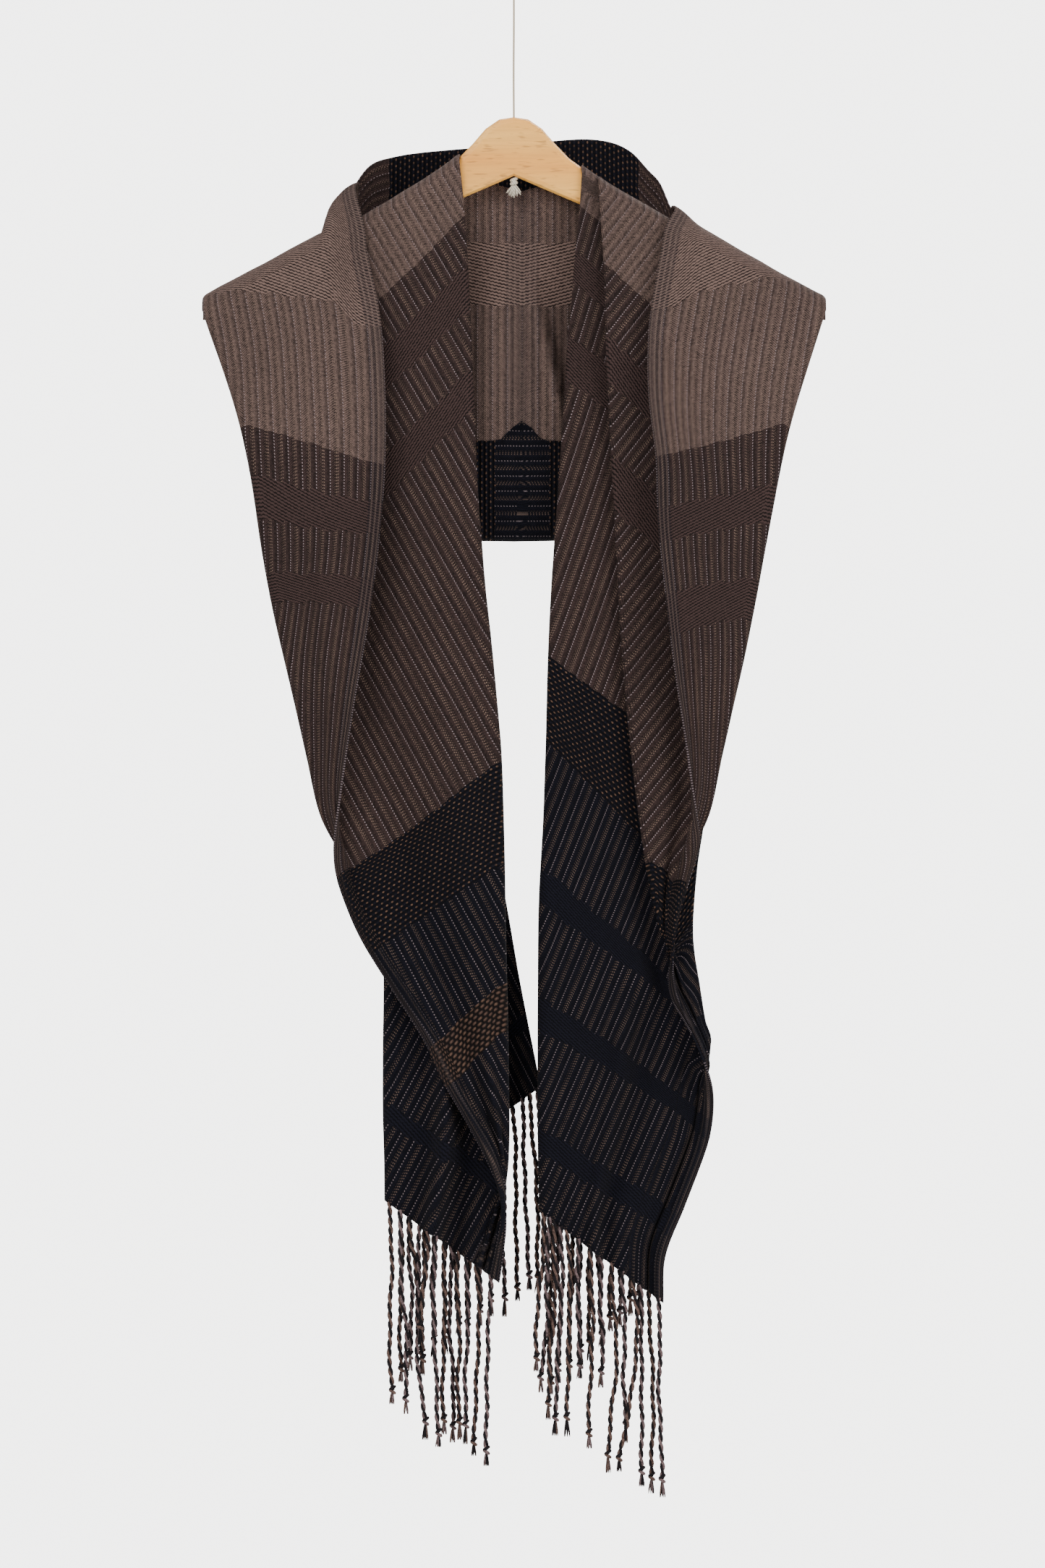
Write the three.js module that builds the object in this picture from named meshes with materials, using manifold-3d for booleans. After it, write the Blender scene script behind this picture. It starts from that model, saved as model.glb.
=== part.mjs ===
// A hooded scarf of one long handwoven strip, hung on a wooden hanger. Units are millimetres, +Z is up, -Y
// is the front. The origin is the top of the string loop that holds it all.
//
// The strip runs from one fringed end over the shoulder, round the hood and down to the other end. Each end
// hangs in folds: its front selvedge is turned out over the hanger's arm, and the rest is pleated behind
// it. The hood is a soft bag that hangs behind the hanger, with its mouth up.
import * as THREE from "three";
import { mergeVertices } from "three/addons/utils/BufferGeometryUtils.js";
import Module from "manifold-3d";

const wasm = await Module();
wasm.setup();

// Driving dimensions
const WALL = 1.6; // thickness of the cloth
const HANGER_TOP_Z = -111; // top of the hanger below the loop that holds it
const HANGER_HALF_SPAN = 212;
const HANGER_THICK = 12;
const HANGER_ROUNDING = 4;
const ARM_BELOW_RIDGE = 2.4; // the cloth lies on the arm, with a little clearance
const STRING_RADIUS = 0.7;
const STRING_HOLE_RADIUS = 1.2;
const SEAM_GAP = 0.5; // clearance where two stretches of the strip meet
const LIP = 6; // how far the cloth comes down behind the arm
const STRAND_RADIUS = 1.7;
const SECTIONS = 25; // from the shoulder to the hem

// Ridge of the shoulders: how far it lies below the top of the hanger, at each distance from the centre.
const RIDGE = [
  { x: 0, drop: 8 },
  { x: 38, drop: 26 },
  { x: 50, drop: 35 },
  { x: 66, drop: 46 },
  { x: 92, drop: 61 },
  { x: 133, drop: 84 },
  { x: 184, drop: 111 },
  { x: 216, drop: 128 },
];

// Each end of the scarf is a row of edges, from the front selvedge to the back one. Each edge is a table
// from the shoulder to the hem: along is the length of cloth below the first colour change, x and drop
// place the edge, y is its depth, and round is the radius that the cloth turns with there (0 where it lies
// flat).
const edge = (columns, rows) =>
  rows.map((row) => Object.fromEntries(columns.map((name, i) => [name, row[i]])));
const SELVEDGE = ["along", "x", "drop", "y"];
const FOLD = ["along", "x", "drop", "y", "round"];

const LEFT_END = {
  edges: [
    edge(SELVEDGE, [
      [-152, -101.5, 91.5, -16], [-103, -92, 139, -24], [-53, -88.5, 189, -31], [0, -88.5, 241.5, -35],
      [56, -92, 289, -37], [126, -100, 349, -37], [197, -110.5, 409, -35], [261, -119, 464, -31],
      [300, -123.5, 498, -27], [322, -123.5, 517, -21], [345, -119, 536, -18], [380, -106, 567, -17],
      [420, -84, 603, -17], [460, -61.5, 639, -17], [487, -50.5, 663.5, -17], [523, -32.5, 695, -16],
      [555, -18, 723, -14], [580, -9, 746, -9], [600, -6.5, 764, -3], [620, -7.5, 785, 1],
      [640, -10.5, 806, 3],
    ]),
    edge(FOLD, [
      [-80, -214.5, 133.5, -12, 3], [0, -188, 215.5, -13, 5], [90, -171, 314, -14, 6],
      [180, -155, 385, -14, 6], [240, -142, 443, -14, 5], [285, -133, 482, -13.5, 3],
      [310, -121, 505, -13, 0.5], [322, -114.5, 513, -12.5, 0], [345, -112, 529, -12, 0],
      [380, -98.5, 560, -12, 0], [460, -54, 632, -14, 0], [523, -26, 689, -14, 0], [555, -13, 714, -13, 0],
      [580, -7, 738, -8, 0], [600, -8, 757, 1, 0], [620, -13, 779, 4, 0], [640, -18.6, 800, 8, 0],
    ]),
    edge(FOLD, [
      [-31, -37.7, 32, -11.5, 2], [0, -34, 69, -10, 3], [60, -30, 137, -7, 6], [120, -27, 205, -5, 7.5],
      [180, -24, 273.5, -4, 8.5], [260, -16.5, 364, -3, 9], [330, -9, 443.5, -2, 9],
      [394, -6.5, 516.5, -1, 9], [468, -5.5, 600.5, -1, 9], [530, -4, 670.5, -2, 8],
      [560, -3.7, 704, -2, 6], [585, -6, 734, -1, 3], [600, -12, 750, 5, 0], [620, -20, 773, 9, 0],
      [640, -26.7, 794.3, 13, 0],
    ]),
    edge(FOLD, [
      [-31, -42, 35.5, -9.5, 0], [0, -46.3, 59.4, -9, 0], [60, -66, 108, -3, 0], [120, -85.6, 156, 1, 0],
      [165, -101, 192, 1.5, 0], [180, -107, 204, 3, 0.5], [210, -107.3, 236, 4, 2.5],
      [250, -105, 283, 4.5, 3], [330, -100.5, 377.5, 8, 4], [400, -96.5, 458, 10, 5],
      [498, -90, 576, 7, 7], [560, -90, 651, 5, 8], [640, -89.5, 749, 4, 7],
    ]),
    edge(SELVEDGE, [
      [-31, -46, 38.5, -9.5], [0, -50, 56, -9], [60, -69.7, 104.5, -3], [120, -89.3, 152.7, 1],
      [165, -105, 187, 2], [180, -110, 196, 5], [210, -96, 225, 8], [250, -76, 262, 9],
      [330, -50, 345, 17], [400, -32, 425, 24], [498, -8, 530, 29], [560, 4, 597, 30],
      [640, 18.5, 671.5, 29],
    ]),
  ],
  // Soft folds inside a layer. at and width are shares of the layer, depth is towards the back, from and to
  // are shares of the hang between which the fold comes in.
  folds: edge(["layer", "at", "width", "depth", "from", "to"], [
    [0, 0.55, 0.22, -4, 0.05, 0.3], [1, 0.3, 0.2, 7, 0.1, 0.4], [1, 0.78, 0.16, -5, 0.1, 0.35],
    [2, 0.28, 0.14, 11, 0.76, 0.95], [2, 0.52, 0.1, -17, 0.72, 0.92], [3, 0.3, 0.12, 12, 0.55, 0.8],
    [3, 0.8, 0.1, 9, 0.55, 0.8],
  ]),
};

const RIGHT_END = {
  edges: [
    edge(SELVEDGE, [
      [-169, 103, 84, -19], [-118, 95, 130, -23], [-91, 92.5, 154, -27], [-51, 92.5, 190.5, -31],
      [0, 97.5, 236, -35], [48, 99, 279, -37], [104, 104, 329, -38], [160, 110, 379, -37],
      [210, 117, 424, -34], [250, 122.5, 459, -30], [278, 126.5, 484, -26], [296, 128.5, 499, -22],
      [312, 126, 512, -19], [330, 119.5, 533, -16], [352, 114, 552, -15], [378, 109.5, 575, -12],
      [400, 106.5, 594, -6], [418, 108.5, 608, -3], [440, 117, 622, -5], [465, 126, 638.5, -9],
      [490, 134, 659, -7], [515, 138, 676, 5], [545, 137.5, 696, 12], [575, 133.5, 714, 15],
      [628, 118.5, 754, 14], [670, 105, 789, 12], [700, 103.5, 820.5, 9],
    ]),
    edge(FOLD, [
      [-80, 215, 133.5, -12, 3], [0, 189.5, 215, -13, 5], [82, 172.5, 299, -14, 6],
      [165, 158, 375, -14, 6], [230, 144, 439, -14, 5], [270, 136, 478, -13.5, 3],
      [294, 126, 500, -13, 0.5], [312, 118, 508, -12.5, 0], [330, 111, 527.5, -12, 0],
      [352, 106.5, 545, -11, 0], [378, 105.5, 570, -9.5, 0], [400, 108, 587, -1, 0], [418, 112, 601, 0, 0],
      [440, 119.5, 616, -1, 0], [465, 127.5, 633, -3, 0], [490, 135, 653, -1, 0], [515, 132, 669, 8, 0],
      [545, 130, 689, 13, 0], [575, 126, 707, 15, 0], [628, 110.6, 748, 14, 0], [670, 97, 783, 12, 0],
      [700, 95.5, 814.5, 11, 0],
    ]),
    edge(FOLD, [
      [-46, 58.7, 47, -15, 2], [0, 62, 101.5, -12.5, 2.5], [60, 65, 176.5, -10, 3],
      [110, 68, 239, -8.5, 3.5], [165, 71.5, 308, -7.5, 4], [250, 79, 414, -7, 4.5], [330, 91, 514, -7, 4],
      [360, 97, 545, -7, 3], [378, 103, 566, -4, 0.5], [400, 112, 580, 3, 0], [418, 116, 594, 3, 0],
      [440, 122, 610, 3, 0], [465, 129, 627, 3, 0], [490, 135.5, 647, 5, 0], [515, 126, 662, 12, 0],
      [545, 122, 682, 14, 0], [575, 118.6, 700, 15, 0], [628, 102.7, 742, 13, 0],
      [670, 89.5, 776.5, 10, 0], [700, 87.5, 808.5, 9, 0],
    ]),
    edge(FOLD, [
      [-46, 65.5, 52, -11.5, 1.8], [0, 78.5, 86.5, -8, 3], [60, 93.5, 146.5, -4, 3], [110, 105, 204, -1, 3],
      [165, 116, 264, 0, 3], [250, 130, 364, 1, 4], [330, 132, 474, 2, 4], [365, 126, 520, 3, 4],
      [400, 123.5, 564, 4, 4], [440, 128.5, 602, 7, 3.5], [465, 132, 624, 9, 2.5], [490, 136, 641, 11, 1],
      [515, 120, 655, 15, 0], [545, 114.5, 675, 13, 0], [575, 111, 693, 14, 0], [628, 95, 735.5, 9, 0],
      [670, 81.6, 770, 4, 0], [700, 79.5, 802.5, 3, 0],
    ]),
    edge(FOLD, [
      [-46, 51, 42, -9.4, 0], [0, 49, 64.5, -9, 0], [60, 45, 113, -3, 0], [95, 43, 144, 1, 0],
      [110, 38.5, 154, 3, 0.5], [140, 36.5, 184, 4, 2.5], [165, 34.5, 213, 4, 3], [250, 28.5, 294.5, 5, 4],
      [330, 24.5, 371.5, 5, 6], [400, 22.5, 439, 4, 8], [490, 18.5, 532.5, 3, 9], [577, 17.5, 622.5, 2, 9],
      [670, 17.5, 719, 2, 9], [700, 18.5, 757, 3, 8],
    ]),
    edge(SELVEDGE, [
      [-46, 47, 39, -9.4], [0, 45.5, 61.5, -9], [60, 41, 110, -3], [95, 39, 141, 1], [110, 37.5, 148, 5],
      [140, 47, 175, 8], [165, 49, 202, 8], [250, 67, 266, 10], [330, 86, 330, 18], [400, 93, 395, 26],
      [490, 96, 480, 31], [577, 96, 565, 34], [670, 94, 655, 36], [700, 93, 684, 36],
    ]),
  ],
  folds: edge(["layer", "at", "width", "depth", "from", "to"], [
    [0, 0.55, 0.22, -4, 0.05, 0.3], [1, 0.35, 0.2, 6, 0.1, 0.4], [3, 0.3, 0.12, 7, 0.5, 0.75],
    [3, 0.42, 0.09, -10, 0.62, 0.85], [3, 0.7, 0.2, -4, 0.3, 0.6], [4, 0.3, 0.12, 10, 0.55, 0.8],
    [4, 0.55, 0.1, -4, 0.55, 0.8], [4, 0.8, 0.1, 11, 0.55, 0.8],
  ]),
};

// Value of one column of a table at a place along another, by a smooth curve through its rows.
function along(table, key, at, column) {
  let i = table.findIndex((row) => row[key] >= at);
  if (i < 0) i = table.length - 1;
  if (i === 0) i = 1;
  const [a, b] = [table[i - 1], table[i]];
  const before = table[i - 2] ?? a;
  const after = table[i + 1] ?? b;
  const span = b[key] - a[key];
  const s = Math.min(1, Math.max(0, (at - a[key]) / span));
  const slope = (p, q) => (q[key] === p[key] ? 0 : (q[column] - p[column]) / (q[key] - p[key]));
  const [m0, m1] = [slope(before, b) * span, slope(a, after) * span];
  const [s2, s3] = [s * s, s * s * s];
  const shares = [2 * s3 - 3 * s2 + 1, s3 - 2 * s2 + s, 3 * s2 - 2 * s3, s3 - s2];
  return shares[0] * a[column] + shares[1] * m0 + shares[2] * b[column] + shares[3] * m1;
}

const smoothstep = (low, high, x) => {
  const s = Math.min(1, Math.max(0, (x - low) / (high - low)));
  return s * s * (3 - 2 * s);
};
const ridgeDrop = (x) => along(RIDGE, "x", Math.abs(x), "drop");

// Where one edge of an end is at a share t of the way from the shoulder to the hem.
function edgePoint(table, t) {
  const at = THREE.MathUtils.lerp(table[0].along, table[table.length - 1].along, t);
  const value = (column) => along(table, "along", at, column);
  const isFold = table[0].round !== undefined;
  return { x: value("x"), drop: value("drop"), y: value("y"), round: isFold ? value("round") : 0 };
}

// One section across an end: straight layers between the edges, joined by half-round turns.
const HALF_TURN = 2; // steps in each half of a turn
const LEAST_TURN = 0.7;
const RIDGE_FADE = 0.2; // share of the hang over which a layer leaves the ridge's line
const HOOD_SIDE = { inner: 103, outer: 130 }; // the flap runs into the hood's side between these
const way = (a, b) => {
  const run = Math.hypot(b.x - a.x, b.drop - a.drop);
  return { x: (b.x - a.x) / run, drop: (b.drop - a.drop) / run };
};

// A point beside an edge. Where the cloth doubles back the turn is half round, and where it runs on it is
// flat.
function besideEdge(edge, direction, radius, angle, side, doubling) {
  const out = radius * (1 - Math.cos(angle));
  return {
    x: edge.x + side * direction.x * out,
    drop: edge.drop + side * direction.drop * out,
    y: edge.y + side * radius * doubling * Math.sin(angle),
  };
}

// The top of a layer lies along the ridge, and the flap comes off it only beside the hood.
function dropInLayer(start, stop, x, s, layer, t) {
  const below = [start, stop].map((p) => p.drop - ridgeDrop(p.x));
  const share = layer === 0 ? smoothstep(HOOD_SIDE.inner, HOOD_SIDE.outer, Math.abs(x)) : s;
  const onRidge = ridgeDrop(x) + THREE.MathUtils.lerp(below[0], below[1], share);
  const straight = THREE.MathUtils.lerp(start.drop, stop.drop, s);
  return THREE.MathUtils.lerp(onRidge, straight, smoothstep(0, RIDGE_FADE, t));
}

// How far the soft folds of a layer push its cloth back.
function softFold(folds, layer, s, t) {
  const ends = Math.sqrt(Math.sin(Math.PI * s));
  let depth = 0;
  for (const fold of folds) {
    if (fold.layer !== layer) continue;
    const hollow = Math.exp(-(((s - fold.at) / fold.width) ** 2));
    depth += fold.depth * hollow * ends * smoothstep(fold.from, fold.to, t);
  }
  return depth;
}

function sectionPoints(end, t, layerSteps) {
  const edges = end.edges.map((table) => edgePoint(table, t));
  const ways = edges.slice(1).map((b, i) => way(edges[i], b));
  const doubling = edges.map((_, i) => {
    if (i === 0 || i === ways.length) return 0;
    return (1 - ways[i - 1].x * ways[i].x - ways[i - 1].drop * ways[i].drop) / 2;
  });
  const points = [];
  ways.forEach((direction, i) => {
    const [a, b] = [edges[i], edges[i + 1]];
    const [ra, rb] = [Math.max(LEAST_TURN, a.round), Math.max(LEAST_TURN, b.round)];
    const start = besideEdge(a, direction, ra, Math.PI / 2, 1, doubling[i]);
    const stop = besideEdge(b, direction, rb, Math.PI / 2, -1, doubling[i + 1]);
    const steps = layerSteps[i];
    if (i > 0)
      for (let k = 0; k < HALF_TURN; k++)
        points.push(besideEdge(a, direction, ra, (Math.PI / 2) * (k / HALF_TURN), 1, doubling[i]));
    for (let k = 0; k <= steps; k++) {
      const s = k / steps;
      const x = THREE.MathUtils.lerp(start.x, stop.x, s);
      const y = THREE.MathUtils.lerp(start.y, stop.y, s) + softFold(end.folds, i, s, t);
      points.push({ x, drop: dropInLayer(start, stop, x, s, i, t), y });
    }
    if (i < ways.length - 1)
      for (let k = HALF_TURN - 1; k > 0; k--)
        points.push(besideEdge(b, direction, rb, (Math.PI / 2) * (k / HALF_TURN), -1, doubling[i + 1]));
  });
  return points;
}

const place = (p) => new THREE.Vector3(p.x, p.y, HANGER_TOP_Z - p.drop);

// The top of each column goes over the arm of the hanger and a little way down behind it. The flap stands
// up off the arm near the front selvedge, where it runs on into the side of the hood.
const OVER_STEPS = 4;
// the innermost layer's depth and top, the rise of those over it, and how far back the cloth may come down
const OVER_ARM = { depth: 9, below: 0.5, rise: 0.6, most: 16.5 };
const BULGE = [
  { x: 96, drop: 40 },
  { x: 110, drop: 45 },
  { x: 120, drop: 53 },
  { x: 126, drop: 63 },
  { x: 131, drop: 80 },
];
function overTheArm(p, isFlap) {
  let top = ridgeDrop(p.x) + OVER_ARM.below - (Math.abs(p.y) - OVER_ARM.depth) * OVER_ARM.rise;
  const across = Math.abs(p.x);
  if (isFlap && across < BULGE[BULGE.length - 1].x) top = Math.min(top, along(BULGE, "x", across, "drop"));
  const line = [];
  for (let k = 1; k <= OVER_STEPS + 1; k++) {
    const angle = Math.PI * Math.min(1, k / OVER_STEPS);
    const down = k > OVER_STEPS ? LIP : 0;
    const depth = angle > Math.PI / 2 ? -Math.min(-p.y, OVER_ARM.most) : p.y;
    line.push({ x: p.x, y: depth * Math.cos(angle), drop: p.drop - (p.drop - top) * Math.sin(angle) + down });
  }
  return line.reverse();
}

// The grid of an end's middle surface, from the lip behind the arm to the hem.
function endGrid(end, layerSteps) {
  const grid = [];
  for (let r = 0; r <= SECTIONS; r++) grid.push(sectionPoints(end, r / SECTIONS, layerSteps));
  const flapColumns = layerSteps[0] + 1 + HALF_TURN;
  const tops = grid[0].map((p, c) => overTheArm(p, c < flapColumns));
  const above = tops[0].map((_, k) => tops.map((line) => line[k]));
  return [...above, ...grid].map((row) => row.map(place));
}

// A closed wall of the cloth's thickness round a grid of points.
function normalsOf(grid) {
  const [rows, columns] = [grid.length, grid[0].length];
  return grid.map((row, r) =>
    row.map((_, c) => {
      const acrossWay = grid[r][Math.min(columns - 1, c + 1)].clone().sub(grid[r][Math.max(0, c - 1)]);
      const downWay = grid[Math.min(rows - 1, r + 1)][c].clone().sub(grid[Math.max(0, r - 1)][c]);
      return acrossWay.cross(downWay).normalize();
    }),
  );
}

function wall(grid, thickness) {
  const [rows, columns] = [grid.length, grid[0].length];
  const normals = normalsOf(grid);
  const positions = [];
  for (const side of [0.5, -0.5])
    grid.forEach((row, r) =>
      row.forEach((p, c) => {
        const onSkin = p.clone().addScaledVector(normals[r][c], side * thickness);
        positions.push(...onSkin.toArray());
      }),
    );
  const at = (side, r, c) => side * rows * columns + r * columns + c;
  const index = [];
  const quad = (a, b, c, d) => index.push(a, b, c, a, c, d);
  for (let r = 0; r < rows - 1; r++)
    for (let c = 0; c < columns - 1; c++) {
      quad(at(0, r, c), at(0, r, c + 1), at(0, r + 1, c + 1), at(0, r + 1, c));
      quad(at(1, r, c), at(1, r + 1, c), at(1, r + 1, c + 1), at(1, r, c + 1));
    }
  for (let c = 0; c < columns - 1; c++) {
    quad(at(0, 0, c + 1), at(0, 0, c), at(1, 0, c), at(1, 0, c + 1));
    quad(at(0, rows - 1, c), at(0, rows - 1, c + 1), at(1, rows - 1, c + 1), at(1, rows - 1, c));
  }
  for (let r = 0; r < rows - 1; r++) {
    quad(at(0, r, 0), at(0, r + 1, 0), at(1, r + 1, 0), at(1, r, 0));
    quad(at(0, r + 1, columns - 1), at(0, r, columns - 1), at(1, r, columns - 1), at(1, r + 1, columns - 1));
  }
  const geometry = new THREE.BufferGeometry();
  geometry.setAttribute("position", new THREE.BufferAttribute(new Float32Array(positions), 3));
  geometry.setIndex(index);
  return facingOut(geometry);
}

function signedVolume(geometry) {
  const p = geometry.getAttribute("position");
  const [a, b, c] = [new THREE.Vector3(), new THREE.Vector3(), new THREE.Vector3()];
  let sum = 0;
  for (let i = 0; i < geometry.index.count; i += 3) {
    a.fromBufferAttribute(p, geometry.index.getX(i));
    b.fromBufferAttribute(p, geometry.index.getX(i + 1));
    c.fromBufferAttribute(p, geometry.index.getX(i + 2));
    sum += a.dot(b.cross(c)) / 6;
  }
  return sum;
}

function facingOut(geometry) {
  if (signedVolume(geometry) < 0) {
    const list = geometry.index.array;
    for (let i = 0; i < list.length; i += 3) [list[i + 1], list[i + 2]] = [list[i + 2], list[i + 1]];
  }
  return geometry;
}

// Solids for cutting and joining
function solidFrom(geometry) {
  const bare = geometry.clone();
  bare.deleteAttribute("normal");
  bare.deleteAttribute("uv");
  const merged = mergeVertices(bare, 1e-4);
  return new wasm.Manifold(
    new wasm.Mesh({
      numProp: 3,
      vertProperties: merged.getAttribute("position").array,
      triVerts: new Uint32Array(merged.index.array),
    }),
  );
}

function geometryFrom(solid) {
  const mesh = solid.getMesh();
  const geometry = new THREE.BufferGeometry();
  geometry.setAttribute("position", new THREE.BufferAttribute(new Float32Array(mesh.vertProperties), 3));
  geometry.setIndex(new THREE.BufferAttribute(new Uint32Array(mesh.triVerts), 1));
  return geometry;
}

// A closed tube of few sides that follows points and narrows by a list of radii.
function tube(points, radii, sides) {
  const positions = [];
  points.forEach((p, i) => {
    const before = points[Math.max(0, i - 1)];
    const after = points[Math.min(points.length - 1, i + 1)];
    const way = after.clone().sub(before).normalize();
    const side = new THREE.Vector3(0, 1, 0).cross(way).normalize();
    const other = way.clone().cross(side);
    for (let k = 0; k < sides; k++) {
      const angle = (2 * Math.PI * (k + 0.5)) / sides;
      const q = p.clone();
      q.addScaledVector(side, radii[i] * Math.cos(angle)).addScaledVector(other, radii[i] * Math.sin(angle));
      positions.push(...q.toArray());
    }
  });
  const index = [];
  for (let i = 0; i < points.length - 1; i++)
    for (let k = 0; k < sides; k++) {
      const [a, b] = [i * sides + k, i * sides + ((k + 1) % sides)];
      index.push(a, b, b + sides, a, b + sides, a + sides);
    }
  const end = (points.length - 1) * sides;
  for (let k = 1; k < sides - 1; k++) index.push(0, k + 1, k, end, end + k, end + k + 1);
  const geometry = new THREE.BufferGeometry();
  geometry.setAttribute("position", new THREE.BufferAttribute(new Float32Array(positions), 3));
  geometry.setIndex(index);
  return facingOut(geometry);
}

// Finishes
const material = (color, roughness) => new THREE.MeshStandardMaterial({ color, roughness, metalness: 0 });
const TAUPE = material("#7c6a5e", 0.95);
const BLACK_BROWN = material("#2a2524", 0.95);
const STRAND_YARN = material("#3a3030", 0.95);
const BEECH = material("#c9905a", 0.45);
const COTTON = material("#d8cdbd", 0.95);

// The hanger is one flat board with rounded edges: a small peak, two straight arms under the cloth's ridge,
// and an arched underside. A drilled hole takes the string.
const HANGER = {
  peak: [[0, 0], [10, 1.5], [19.5, 8], [28.5, 18.5]], // distance from the centre and drop, down to the arm
  armFrom: 38,
  armTo: 205,
  armStep: 16.7,
  tipTop: 1, // the arm's end is rounded off by this much
  tipBottom: 140,
  under: [[200, 134.5], [170, 119], [133, 100], [100, 84.5], [49, 61.5], [14, 46.5], [0, 40.5]],
  drillLength: 80,
};
function hanger() {
  const armPoints = Math.round((HANGER.armTo - HANGER.armFrom) / HANGER.armStep);
  const arm = [...Array(armPoints + 1)].map((_, i) => {
    const x = THREE.MathUtils.lerp(HANGER.armFrom, HANGER.armTo, i / armPoints);
    return [x, ridgeDrop(x) + ARM_BELOW_RIDGE];
  });
  const tipDrop = ridgeDrop(HANGER_HALF_SPAN) + ARM_BELOW_RIDGE + HANGER.tipTop;
  const tip = [[HANGER_HALF_SPAN, tipDrop], [HANGER_HALF_SPAN, HANGER.tipBottom]];
  const half = [...HANGER.peak, ...arm, ...tip, ...HANGER.under];
  const mirrored = half.slice(1, -1).reverse().map(([x, drop]) => [-x, drop]);
  const shape = new THREE.Shape([...half, ...mirrored].map(([x, drop]) => new THREE.Vector2(x, -drop)));
  const body = new THREE.ExtrudeGeometry(shape, {
    depth: HANGER_THICK - 2 * HANGER_ROUNDING,
    bevelEnabled: true,
    bevelThickness: HANGER_ROUNDING,
    bevelSize: HANGER_ROUNDING,
    bevelOffset: -HANGER_ROUNDING,
    bevelSegments: 2,
  });
  body.translate(0, 0, HANGER_ROUNDING - HANGER_THICK / 2);
  body.rotateX(Math.PI / 2).translate(0, 0, HANGER_TOP_Z);
  const drill = new THREE.CylinderGeometry(STRING_HOLE_RADIUS, STRING_HOLE_RADIUS, HANGER.drillLength, 12);
  drill.rotateX(Math.PI / 2).translate(0, 0, HANGER_TOP_Z - HANGER.drillLength / 4);
  return geometryFrom(solidFrom(body).subtract(solidFrom(drill)));
}

// The hood is a soft bag with its mouth up. A loop of cloth starts at the seam in the middle of the front,
// goes round one side, across the back and round the other side to the seam again. It closes along a fold
// at the bottom.
const HOOD = {
  halfWidth: 119,
  frontY: 12,
  backY: 58,
  frontBelowRidge: 13.3,
  napeDrop: 50,
  napeHalfWidth: 40,
  seamEndShare: 0.66, // how far down the front the seam runs before the crown
  rows: 12,
  rowCrowding: 1.4, // loops lie closer together towards the bottom
  sideCrowding: 0.85, // and their points towards the sides
  bottomFade: 6,
  halfColumns: 20, // an even number, so that a column runs down each side
  seamX: 6, // the seam doesn't hang quite in the middle
};
const HOOD_BOTTOM = [
  { x: 0, drop: 292.5 },
  { x: 40, drop: 291 },
  { x: 78, drop: 283 },
  { x: 100, drop: 262 },
  { x: 119, drop: 228 },
];
// The rim: the front selvedge of the strip along the back of the mouth.
const RIM = [
  { x: -119, drop: 88 }, { x: -113, drop: 62 }, { x: -104, drop: 46 }, { x: -92, drop: 35 },
  { x: -70, drop: 26 }, { x: -40, drop: 23 }, { x: 0, drop: 20 }, { x: 45, drop: 16 }, { x: 67, drop: 18 },
  { x: 82, drop: 26 }, { x: 94, drop: 40 }, { x: 106, drop: 62 }, { x: 119, drop: 86 },
];
// One loop of the hood at a share of the way from the mouth to the bottom, and a share v of the way round.
const QUARTER = 0.25;
function hoodPoint(share, v) {
  const round = 0.5 - Math.abs(v - 0.5); // 0 at the seam, 0.5 at the middle of the back
  const isBack = round > QUARTER;
  const reach = (isBack ? 0.5 - round : round) / QUARTER;
  const side = v < 0.5 ? -1 : 1;
  const x = side * HOOD.halfWidth * Math.sin((Math.PI / 2) * reach ** HOOD.sideCrowding);
  const across = Math.abs(x) / HOOD.halfWidth;
  const shift = isBack ? 0 : HOOD.seamX * (1 - across) * (1 - share ** HOOD.bottomFade);
  const besideNape = Math.max(Math.abs(x + shift), HOOD.napeHalfWidth);
  const nape = Math.max(0, 1 - Math.abs(x + shift) / HOOD.napeHalfWidth);
  const frontTop = THREE.MathUtils.lerp(ridgeDrop(besideNape) + HOOD.frontBelowRidge, HOOD.napeDrop, nape);
  const top = isBack ? along(RIM, "x", x, "drop") : frontTop;
  const bottom = along(HOOD_BOTTOM, "x", Math.abs(x), "drop");
  const depth = Math.sqrt(Math.max(0, 1 - share ** 3)) * Math.sqrt(Math.max(0, 1 - across ** 4));
  const half = ((HOOD.backY - HOOD.frontY) / 2) * depth;
  const y = (HOOD.frontY + HOOD.backY) / 2 + (isBack ? half : -half);
  return { x: x + shift, y, drop: THREE.MathUtils.lerp(top, bottom, share) };
}

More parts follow.
